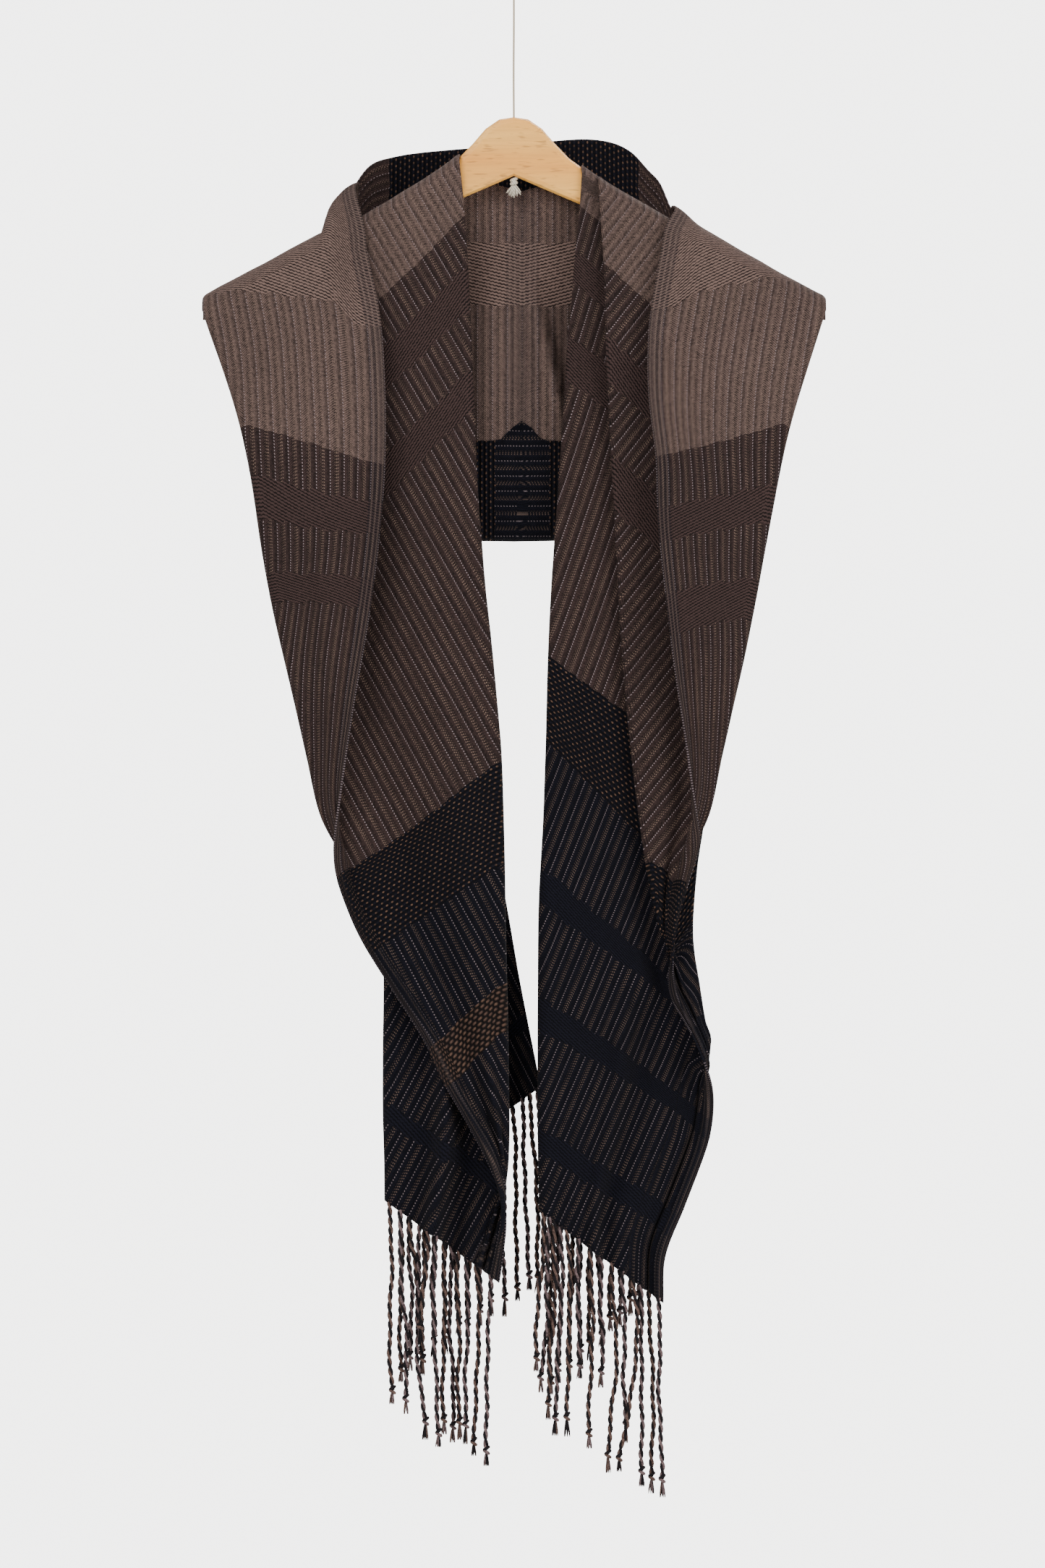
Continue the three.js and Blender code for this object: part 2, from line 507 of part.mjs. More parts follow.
// The hood's wall: an outer and an inner skin of loops. The seam is a slit in the front that closes at the
// crown, and the last loop folds flat into the bottom.
function hoodWall(thickness) {
  const [rows, columns] = [HOOD.rows, 2 * HOOD.halfColumns];
  const seamRow = Math.round(HOOD.seamEndShare * rows);
  const outer = [];
  for (let r = 0; r <= rows; r++) {
    const share = 1 - (1 - r / rows) ** HOOD.rowCrowding;
    outer.push([...Array(columns + 1)].map((_, c) => place(hoodPoint(share, c / columns))));
  }
  for (let r = 0; r < seamRow; r++) {
    outer[r][0].x -= SEAM_GAP / 2;
    outer[r][columns].x += SEAM_GAP / 2;
  }
  const inner = outer.map((row, r) =>
    row.map((p, c) => {
      const [left, right] = [row[(c || columns) - 1], row[c === columns ? 1 : c + 1]];
      const [up, down] = [outer[Math.max(0, r - 1)][c], outer[Math.min(rows, r + 1)][c]];
      const normal = right.clone().sub(left).cross(down.clone().sub(up)).normalize();
      if (r < rows) return p.clone().addScaledVector(normal, thickness);
      const across = p.x / HOOD.halfWidth;
      return p.clone().add(new THREE.Vector3(-thickness * across * Math.abs(across), 0, thickness));
    }),
  );
  for (let r = 0; r <= rows; r++)
    for (const skin of [outer, inner])
      if (r >= seamRow) {
        skin[r][0].x = (skin[r][0].x + skin[r][columns].x) / 2;
        skin[r][columns].copy(skin[r][0]);
      } else if (skin === inner) {
        skin[r][0].x = outer[r][0].x;
        skin[r][columns].x = outer[r][columns].x;
      }
  for (const skin of [outer, inner])
    for (let c = 0; c < columns / 4; c++) {
      skin[rows][columns / 2 - c].copy(skin[rows][c]);
      skin[rows][columns / 2 + c].copy(skin[rows][columns - c]);
    }
  const positions = [...outer.flat(), ...inner.flat()].flatMap((p) => p.toArray());
  const at = (side, r, c) => side * (rows + 1) * (columns + 1) + r * (columns + 1) + c;
  const index = [];
  const quad = (i, j, k, l) => index.push(i, j, k, i, k, l);
  for (let r = 0; r < rows; r++)
    for (let c = 0; c < columns; c++) {
      quad(at(0, r, c), at(0, r, c + 1), at(0, r + 1, c + 1), at(0, r + 1, c));
      quad(at(1, r, c), at(1, r + 1, c), at(1, r + 1, c + 1), at(1, r, c + 1));
    }
  for (let c = 0; c < columns; c++) quad(at(0, 0, c + 1), at(0, 0, c), at(1, 0, c), at(1, 0, c + 1));
  for (let r = 0; r < seamRow; r++) {
    quad(at(0, r, 0), at(0, r + 1, 0), at(1, r + 1, 0), at(1, r, 0));
    quad(at(0, r + 1, columns), at(0, r, columns), at(1, r, columns), at(1, r + 1, columns));
  }
  const geometry = new THREE.BufferGeometry();
  geometry.setAttribute("position", new THREE.BufferAttribute(new Float32Array(positions), 3));
  geometry.setIndex(index);
  return facingOut(geometry);
}

// The fringe: the warp ends below a hem are twisted in strands. Their roots are fused into a narrow band
// that runs along the hem, just below the cloth.
const FRINGE = {
  gap: 0.75, // between the hem and the band
  band: 4,
  bandStep: 6,
  segments: 4,
  sides: 4,
  endShare: 0.8, // share of the radius left at the end of a strand
};

// Each strand's place across at the hem, half-way down and at its end, its length, and how far back its end
// lies.
const strands = (rows) => edge(["root", "middle", "end", "length", "back"], rows);
const LEFT_FRONT_STRANDS = strands([
  [-86, -85, -84.5, 143, -1], [-79, -76, -73.5, 144, 1], [-72, -67, -62, 108, 0],
  [-65, -66.5, -58.5, 150, -3], [-59.5, -61, -65.5, 72, 4], [-54, -54, -53, 150, 1],
  [-48.5, -49, -47.5, 136, -2], [-43.5, -43.5, -42, 138, 2], [-38.5, -38.5, -37, 130, -1],
  [-33, -32.5, -33.5, 128, 2], [-26.5, -24.5, -28.5, 136, -2], [-16, -17.5, -20.5, 134, 0],
]);
const LEFT_BACK_STRANDS = strands([
  [-80, -78, -79, 138, 11], [-72, -72, -71, 135, 13], [-64, -63, -64, 140, 11], [-56, -56, -55, 136, 13],
  [-48, -47, -48, 139, 12], [-40, -41, -39, 134, 13], [-32, -31, -32, 141, 11], [-24, -25, -23, 138, 13],
  [-16, -15, -16, 136, 12], [-8, -7, -6, 142, 12], [-1, 2, 3, 140, 11], [6, 9, 10, 136, 13],
  [11, 15, 17, 141, 12], [16, 20, 23, 139, 11],
]);
const RIGHT_FRONT_STRANDS = strands([
  [20.5, 18, 14.5, 110, 0], [24.5, 22.5, 18.5, 122, 2], [28.5, 27, 23, 138, -2], [32.5, 32, 28, 146, 1],
  [36.5, 39, 36, 142, -2], [44.5, 45, 44, 96, 2],
  [53, 53.5, 52, 141, -1], [60, 61, 60, 88, 2], [67.5, 70, 63.5, 146, -2], [75, 76.5, 78, 116, 3],
  [82, 83.5, 69.5, 136, -6], [88, 89.5, 87, 142, 0], [93.5, 95.5, 95.5, 143, 1],
  [100, 101.5, 101, 138, -1],
]);
const RIGHT_BACK_STRANDS = strands([
  [25, 26, 25, 138, 8], [32, 31, 32, 136, 6], [39, 40, 38, 141, 8], [46, 46, 47, 137, 6], [53, 53, 53, 139, 8],
  [60, 59, 60, 140, 6], [67, 68, 67, 135, 8], [74, 73, 74, 139, 6], [81, 82, 81, 137, 8], [88, 88, 87, 141, 6],
]);

// The place of a hem's line across, by the straight stretches between its points.
function pointAcross(line, x) {
  const i = line.findIndex((p, k) => k > 0 && (p.x - x) * (line[k - 1].x - x) <= 0);
  const [a, b] = [line[i - 1], line[i]];
  return a.clone().lerp(b, (x - a.x) / (b.x - a.x));
}

function evenLine(line, step) {
  const curve = new THREE.CurvePath();
  for (let i = 1; i < line.length; i++) curve.add(new THREE.LineCurve3(line[i - 1], line[i]));
  return curve.getSpacedPoints(Math.round(curve.getLength() / step));
}

function fringe(hem, rows) {
  const band = [0, 1].map((k) =>
    evenLine(hem, FRINGE.bandStep).map((p) => p.setZ(p.z - FRINGE.gap - k * FRINGE.band)),
  );
  const pieces = [solidFrom(wall(band, WALL))];
  for (const strand of rows) {
    const root = pointAcross(hem, strand.root);
    const points = [];
    const radii = [];
    for (let k = 0; k <= FRINGE.segments; k++) {
      const s = k / FRINGE.segments;
      const bow = 4 * s * (1 - s) * (strand.middle - (strand.root + strand.end) / 2);
      const x = THREE.MathUtils.lerp(strand.root, strand.end, s) + bow;
      const y = root.y + strand.back * Math.sin((Math.PI / 2) * s);
      points.push(new THREE.Vector3(x, y, root.z - FRINGE.gap - FRINGE.band / 2 - s * strand.length));
      radii.push(STRAND_RADIUS * THREE.MathUtils.lerp(1, FRINGE.endShare, s));
    }
    pieces.push(solidFrom(tube(points, radii, FRINGE.sides)));
  }
  return geometryFrom(wasm.Manifold.union(pieces));
}

// The string: a loop at the top, a knot, and a straight run down through the hanger.
const STRING = {
  loopRadius: 8,
  loopSquash: 0.55,
  knotRadius: 2.3,
  knotSquash: 0.8,
  knotTall: 1.2,
  endDrop: 40.6, // below the top of the hanger
};
function string() {
  const knotZ = -2 * STRING.loopRadius - STRING_RADIUS;
  const bottom = HANGER_TOP_Z - STRING.endDrop;
  const loop = new THREE.TorusGeometry(STRING.loopRadius, STRING_RADIUS, 6, 24);
  loop.rotateX(Math.PI / 2).scale(STRING.loopSquash, 1, 1);
  loop.translate(0, 0, -STRING.loopRadius - STRING_RADIUS);
  const knot = new THREE.SphereGeometry(STRING.knotRadius, 8, 6);
  knot.scale(STRING.knotSquash, STRING.knotSquash, STRING.knotTall).translate(0, 0, knotZ);
  const run = new THREE.CylinderGeometry(STRING_RADIUS, STRING_RADIUS, knotZ - bottom, 8);
  run.rotateX(Math.PI / 2).translate(0, 0, (knotZ + bottom) / 2);
  return geometryFrom(wasm.Manifold.union([loop, knot, run].map(solidFrom)));
}

// The string's end: a cotton knot below the hanger, with its frayed tuft.
const TUFT = {
  knot: 3.1,
  gap: 0.4, // between the string and the knot
  locks: 5,
  length: 11,
  outerShorter: 0.25,
  spread: 5,
  depth: 1,
  radius: 1,
  tip: 0.6, // share of a lock's radius left at its end
};
function stringEnd() {
  const knotZ = HANGER_TOP_Z - STRING.endDrop - TUFT.gap - TUFT.knot;
  const pieces = [solidFrom(new THREE.SphereGeometry(TUFT.knot, 8, 6).translate(0, 0, knotZ))];
  for (let i = 0; i < TUFT.locks; i++) {
    const aside = (i / (TUFT.locks - 1)) * 2 - 1;
    const length = TUFT.length * (1 - TUFT.outerShorter * Math.abs(aside));
    const depth = i % 2 ? TUFT.depth : -TUFT.depth;
    const end = new THREE.Vector3(aside * TUFT.spread, depth, -length);
    const points = [0, 0.5, 1].map((s) => end.clone().multiplyScalar(s).setZ(knotZ - length * s));
    pieces.push(solidFrom(tube(points, [TUFT.radius, TUFT.radius, TUFT.radius * TUFT.tip], 5)));
  }
  return geometryFrom(wasm.Manifold.union(pieces));
}

const part = new THREE.Group();
part.name = "hooded_scarf_on_hanger";
function add(name, geometry, look) {
  const mesh = new THREE.Mesh(geometry, look);
  mesh.name = name;
  part.add(mesh);
}

const LEFT_STEPS = [5, 7, 7, 7];
const RIGHT_STEPS = [5, 6, 4, 8, 6];
// The column of an end's grid where a fold turns.
const columnOf = (steps, fold) =>
  steps.slice(1, fold).reduce((sum, n) => sum + n + 2 * HALF_TURN, steps[0] + HALF_TURN);

const leftGrid = endGrid(LEFT_END, LEFT_STEPS);
const rightGrid = endGrid(RIGHT_END, RIGHT_STEPS);
add("left_end", wall(leftGrid, WALL), TAUPE);
add("right_end", wall(rightGrid, WALL), TAUPE);
add("hood", hoodWall(WALL), BLACK_BROWN);
add("hanger", hanger(), BEECH);
add("string", string(), COTTON);
add("string_end", stringEnd(), COTTON);

// Each hem turns once, so its fringe hangs in a front stretch and a back one.
const hem = (grid, from, to) => grid[grid.length - 1].slice(from, to);
const leftTurn = columnOf(LEFT_STEPS, 3);
const rightTurn = columnOf(RIGHT_STEPS, 4);
add("left_front_fringe", fringe(hem(leftGrid, 0, leftTurn), LEFT_FRONT_STRANDS), STRAND_YARN);
add("left_back_fringe", fringe(hem(leftGrid, leftTurn + 1), LEFT_BACK_STRANDS), STRAND_YARN);
add("right_front_fringe", fringe(hem(rightGrid, 0, rightTurn), RIGHT_FRONT_STRANDS), STRAND_YARN);
add("right_back_fringe", fringe(hem(rightGrid, rightTurn + 1), RIGHT_BACK_STRANDS), STRAND_YARN);

export default part;
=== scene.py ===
# %% [markdown]
# # A hooded scarf on a wooden hanger
# The scarf is one long strip, woven by hand in wool. Its middle is folded and sewn along one edge to make a
# hood, and both ends keep their twisted fringe. It hangs over the arms of a wooden hanger, and a string
# holds the hanger. Each piece below is made from the sizes of the strip, then given the colours and the
# weave that the real one shows.

import math

import bmesh
import bpy
import numpy as np
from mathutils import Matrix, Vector, noise


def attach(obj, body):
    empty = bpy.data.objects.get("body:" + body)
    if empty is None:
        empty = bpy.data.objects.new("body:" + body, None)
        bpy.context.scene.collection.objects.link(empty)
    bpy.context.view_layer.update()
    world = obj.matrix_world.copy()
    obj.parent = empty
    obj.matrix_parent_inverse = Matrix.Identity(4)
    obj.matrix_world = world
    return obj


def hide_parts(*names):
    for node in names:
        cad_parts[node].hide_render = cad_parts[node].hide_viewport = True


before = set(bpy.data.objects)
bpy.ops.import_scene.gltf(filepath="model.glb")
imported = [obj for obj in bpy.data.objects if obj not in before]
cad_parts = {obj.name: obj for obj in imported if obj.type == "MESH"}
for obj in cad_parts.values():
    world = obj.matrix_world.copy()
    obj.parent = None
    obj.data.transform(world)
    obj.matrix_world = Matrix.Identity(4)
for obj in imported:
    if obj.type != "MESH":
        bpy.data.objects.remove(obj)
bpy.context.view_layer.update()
MM = 0.001
HANGER_TOP_Z = -111  # the top of the hanger, in mm below the loop that holds it

# %% [markdown]
# ## Camera
# A scarf on a hanger is looked at straight from the front. A short lens would make the near folds large, so
# a long one is used from six metres away, where depth hardly changes a shape. The camera needs no turning
# but to the upright.

# %% Camera
def put(name, data):
    """A new object in the scene."""
    thing = bpy.data.objects.new(name, data)
    bpy.context.collection.objects.link(thing)
    return thing


def add_camera(distance=6.0, lens=199.2, centre=(0.006, -0.572)):
    data = bpy.data.cameras.new("view")
    data.lens = lens
    data.sensor_width = 36
    camera = put("view", data)
    camera.location = (centre[0], -distance, centre[1])
    camera.rotation_euler = (math.pi / 2, 0, 0)
    bpy.context.scene.camera = camera
    print("camera", distance, "m away, lens", lens, "mm")


add_camera()

# %% [markdown]
# ## Floor and lights
# Dark wool shows its weave only in broad, soft light. Two large lamps stand in front, the left one higher,
# a third lights the back, and a fourth keeps the floor pale. Small lamps would be quicker to place, but
# they cast hard edges.

# %% Floor and lights
def add_floor(floor_z=-1.5, radius=3.2, sides=96):
    """A round pale floor, some way below the fringe."""
    material = bpy.data.materials.new("pale_floor")
    material.use_nodes = True
    shader = material.node_tree.nodes["Principled BSDF"]
    shader.inputs["Base Color"].default_value = (0.84, 0.83, 0.80, 1)
    shader.inputs["Roughness"].default_value = 0.9
    angles = [2 * math.pi * k / sides for k in range(sides)]
    mesh = bpy.data.meshes.new("floor")
    points = [(radius * math.cos(a), radius * math.sin(a), floor_z) for a in angles]
    mesh.from_pydata(points, [], [tuple(range(sides))])
    mesh.materials.append(material)
    put("floor", mesh)


def add_light(name, place, target, size, power):
    data = bpy.data.lights.new(name, "AREA")
    data.shape = "SQUARE"
    data.size = size
    data.energy = power
    light = put(name, data)
    light.location = place
    light.rotation_euler = (Vector(target) - Vector(place)).to_track_quat("-Z", "Y").to_euler()


add_floor()
for name, place, target, size, power in (
    ("key", (-1.1, -2.3, 1.0), (0, 0, -0.5), 1.4, 56),
    ("fill", (2.0, -2.1, -0.1), (0, 0, -0.6), 2.0, 54),
    ("behind", (0.6, 2.6, 0.8), (0, 0, -0.6), 2.0, 80),
    ("floor_wash", (0, 0.2, 2.6), (0, 0.2, -1.5), 2.4, 60),
):
    add_light(name, place, target, size, power)
    print(name, power, "W,", size, "m wide")

# %% [markdown]
# ## A pale room
# The room gives a little even light from everywhere. Seen past the scarf it should look nearly white, which
# is far more than the light it may give, so the world has two backgrounds and shows the brighter one to the
# camera alone.

# %% Room
def add_room(light=0.6, pale=4.6):
    world = bpy.data.worlds.new("room")
    world.use_nodes = True
    nodes, links = world.node_tree.nodes, world.node_tree.links
    even, seen = nodes["Background"], nodes.new("ShaderNodeBackground")
    backgrounds = ((even, (1.0, 0.985, 0.96, 1), light), (seen, (1.0, 0.995, 0.985, 1), pale))
    for background, colour, strength in backgrounds:
        background.inputs["Color"].default_value = colour
        background.inputs["Strength"].default_value = strength
    path = nodes.new("ShaderNodeLightPath")
    mix = nodes.new("ShaderNodeMixShader")
    links.new(path.outputs["Is Camera Ray"], mix.inputs[0])
    links.new(even.outputs[0], mix.inputs[1])
    links.new(seen.outputs[0], mix.inputs[2])
    links.new(mix.outputs[0], nodes["World Output"].inputs["Surface"])
    bpy.context.scene.world = world


add_room()

# %% [markdown]
# ## Numbers that vary over a surface
# A weave is easiest to write down as arithmetic on two lengths: how far a point lies from the selvedge and
# how far along the strip. `Field` turns such arithmetic into Math nodes, so that a material reads like a
# formula.

# %% Formulas as nodes
class Field:
    """A number at every point of a surface. tree is the node tree that is being written."""

    tree = None

    def __init__(self, socket):
        self.socket = socket

    @classmethod
    def make(cls, operation, *values):
        node = cls.tree.nodes.new("ShaderNodeMath")
        node.operation = operation
        for slot, value in zip(node.inputs, values):
            if isinstance(value, Field):
                cls.tree.links.new(value.socket, slot)
            else:
                slot.default_value = value
        return cls(node.outputs[0])

    def __add__(self, other):
        return Field.make("ADD", self, other)

    def __sub__(self, other):
        return Field.make("SUBTRACT", self, other)

    def __mul__(self, other):
        return Field.make("MULTIPLY", self, other)

    def __truediv__(self, other):
        return Field.make("DIVIDE", self, other)

    def __rsub__(self, other):
        return Field.make("SUBTRACT", other, self)

    __radd__, __rmul__ = __add__, __mul__

    def above(self, edge):
        return Field.make("GREATER_THAN", self, edge)

    def below(self, edge):
        return Field.make("LESS_THAN", self, edge)

    def between(self, low, high):
        return self.above(low) * self.below(high)

    def fract(self):
        return Field.make("FRACT", self)

    def floor(self):
        return Field.make("FLOOR", self)

    def wave(self):
        """1 at whole numbers, 0 half-way between them."""
        return Field.make("COSINE", self * (2 * math.pi)) * 0.5 + 0.5

    def sharp(self, power):
        return Field.make("POWER", self, power)

    def clip(self):
        return Field.make("MINIMUM", Field.make("MAXIMUM", self, 0.0), 1.0)

    def inverse(self):
        return 1 - self


# %% [markdown]
# ## Colour, noise and relief
# Yarn is never one colour, so every finish mixes two or three by some number from 0 to 1. The helpers here
# mix colours, make smooth or stepped random numbers, and turn a height into bump. Bump is enough for single
# threads, and whatever is larger than a thread is real geometry.

# %% Helpers for materials
def linear(red, green, blue):
    """A colour given as it looks on a screen, 0 to 255, in the renderer's own scale."""
    shares = (v / 255 for v in (red, green, blue))
    return tuple(v / 12.92 if v <= 0.04 else ((v + 0.055) / 1.055) ** 2.4 for v in shares)


def blend(low, high, factor):
    """One colour over another by a factor. A colour is three numbers or a socket."""
    node = Field.tree.nodes.new("ShaderNodeMix")
    node.data_type = "RGBA"
    Field.tree.links.new(factor.socket, node.inputs["Factor"])
    for slot, value in ((node.inputs[6], low), (node.inputs[7], high)):
        if isinstance(value, tuple):
            slot.default_value = (*value, 1)
        else:
            Field.tree.links.new(value, slot)
    return node.outputs[2]


def noise_field(scale, detail, stretch=(1, 1, 1)):
    """Smooth random numbers from 0 to 1 at so many cells a metre."""
    tree = Field.tree
    place = tree.nodes.new("ShaderNodeTexCoord")
    mapping = tree.nodes.new("ShaderNodeMapping")
    mapping.inputs["Scale"].default_value = stretch
    texture = tree.nodes.new("ShaderNodeTexNoise")
    texture.inputs["Scale"].default_value = scale
    texture.inputs["Detail"].default_value = detail
    tree.links.new(place.outputs["Object"], mapping.inputs["Vector"])
    tree.links.new(mapping.outputs[0], texture.inputs["Vector"])
    return Field(texture.outputs[0])


def random_by(*fields):
    """A random number from 0 to 1 that is the same wherever the whole numbers given are."""
    combine = Field.tree.nodes.new("ShaderNodeCombineXYZ")
    for slot, field in zip(combine.inputs, fields):
        Field.tree.links.new(field.socket, slot)
    white = Field.tree.nodes.new("ShaderNodeTexWhiteNoise")
    Field.tree.links.new(combine.outputs[0], white.inputs["Vector"])
    return Field(white.outputs["Value"])


def start_material(name, roughness, sheen=0.0, sheen_tint=(1, 1, 1), specular=0.12):
    """A new material, whose nodes the fields below then make."""
    material = bpy.data.materials.new(name)
    material.use_nodes = True
    Field.tree = material.node_tree
    shader = material.node_tree.nodes["Principled BSDF"]
    shader.inputs["Roughness"].default_value = roughness
    shader.inputs["Sheen Weight"].default_value = sheen
    shader.inputs["Sheen Tint"].default_value = (*sheen_tint, 1)
    shader.inputs["Specular IOR Level"].default_value = specular
    return material, shader


def add_relief(shader, height, depth):
    """Bump of so many metres where height is 1."""
    bump = Field.tree.nodes.new("ShaderNodeBump")
    bump.inputs["Distance"].default_value = depth
    Field.tree.links.new(height.socket, bump.inputs["Height"])
    Field.tree.links.new(bump.outputs[0], shader.inputs["Normal"])


# %% [markdown]
# ## The hanger
# The hanger is a flat board of beech, sawn to the slope of the shoulders, rounded along its edges and left
# plain but for a thin coat of oil. The solid already has this shape, so it only needs wood: broad bands
# along the board, fine fibre, and the short dark flecks that beech shows on a flat-sawn face.

# %% Beech
def wood_material():
    material, shader = start_material("oiled_beech", 0.46, specular=0.35)
    bands = noise_field(34, 2.5, stretch=(0.1, 1, 1))
    fibre = noise_field(640, 3.0, stretch=(0.04, 1, 1))
    flecks = ((noise_field(520, 1.0, stretch=(0.16, 1, 1)) - 0.6) * 9).clip()
    colour = blend(linear(234, 152, 58), linear(255, 196, 98), (bands * 2 - 0.5).clip())
    colour = blend(colour, linear(180, 116, 54), (fibre * 1.6 - 0.6).clip() * 0.45)
    colour = blend(colour, linear(128, 80, 42), flecks * 0.45)
    Field.tree.links.new(colour, shader.inputs["Base Color"])
    Field.tree.links.new((fibre * 0.2 + 0.36).socket, shader.inputs["Roughness"])
    add_relief(shader, fibre * 0.6 - flecks * 0.5, 0.00025)
    return material


wood = wood_material()
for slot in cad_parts["hanger"].material_slots:
    slot.material = wood

# %% [markdown]
# ## How each end is folded
# An end of the scarf is followed along its edges: the front selvedge, each fold, and the back selvedge. A
# row gives the length of cloth below the first colour change, the place across, the drop below the top of
# the hanger, the depth, and for a fold the radius it turns with. The solid model is made from the same
# numbers. Real cloth is folded on a table like this, one crease at a time, and hung.

# %% The edges of both ends
LEFT_EDGES = [
    [  # front selvedge
        (-152, -101.5, 91.5, -16), (-103, -92, 139, -24), (-53, -88.5, 189, -31), (0, -88.5, 241.5, -35),
        (56, -92, 289, -37), (126, -100, 349, -37), (197, -110.5, 409, -35), (261, -119, 464, -31),
        (300, -123.5, 498, -27), (322, -123.5, 517, -21), (345, -119, 536, -18), (380, -106, 567, -17),
        (420, -84, 603, -17), (460, -61.5, 639, -17), (487, -50.5, 663.5, -17), (523, -32.5, 695, -16),
        (555, -18, 723, -14), (580, -9, 746, -9), (600, -6.5, 764, -3), (620, -7.5, 785, 1),
        (640, -10.5, 806, 3),
    ],
    [  # outer fold of the flap
        (-80, -214.5, 133.5, -12, 3), (0, -188, 215.5, -13, 5), (90, -171, 314, -14, 6),
        (180, -155, 385, -14, 6), (240, -142, 443, -14, 5), (285, -133, 482, -13.5, 3),
        (310, -121, 505, -13, 0.5), (322, -114.5, 513, -12.5, 0), (345, -112, 529, -12, 0),
        (380, -98.5, 560, -12, 0), (460, -54, 632, -14, 0), (523, -26, 689, -14, 0),
        (555, -13, 714, -13, 0), (580, -7, 738, -8, 0), (600, -8, 757, 1, 0), (620, -13, 779, 4, 0),
        (640, -18.6, 800, 8, 0),
    ],
    [  # inner fold
        (-31, -37.7, 32, -11.5, 2), (0, -34, 69, -10, 3), (60, -30, 137, -7, 6), (120, -27, 205, -5, 7.5),
        (180, -24, 273.5, -4, 8.5), (260, -16.5, 364, -3, 9), (330, -9, 443.5, -2, 9),
        (394, -6.5, 516.5, -1, 9), (468, -5.5, 600.5, -1, 9), (530, -4, 670.5, -2, 8),
        (560, -3.7, 704, -2, 6), (585, -6, 734, -1, 3), (600, -12, 750, 5, 0), (620, -20, 773, 9, 0),
        (640, -26.7, 794.3, 13, 0),
    ],
    [  # outer fold of the back pleat
        (-31, -42, 35.5, -9.5, 0), (0, -46.3, 59.4, -9, 0), (60, -66, 108, -3, 0), (120, -85.6, 156, 1, 0),
        (165, -101, 192, 1.5, 0), (180, -107, 204, 3, 0.5), (210, -107.3, 236, 4, 2.5),
        (250, -105, 283, 4.5, 3), (330, -100.5, 377.5, 8, 4), (400, -96.5, 458, 10, 5),
        (498, -90, 576, 7, 7), (560, -90, 651, 5, 8), (640, -89.5, 749, 4, 7),
    ],
    [  # back selvedge
        (-31, -46, 38.5, -9.5), (0, -50, 56, -9), (60, -69.7, 104.5, -3), (120, -89.3, 152.7, 1),
        (165, -105, 187, 2), (180, -110, 196, 5), (210, -96, 225, 8), (250, -76, 262, 9),
        (330, -50, 345, 17), (400, -32, 425, 24), (498, -8, 530, 29), (560, 4, 597, 30),
        (640, 18.5, 671.5, 29),
    ],
]
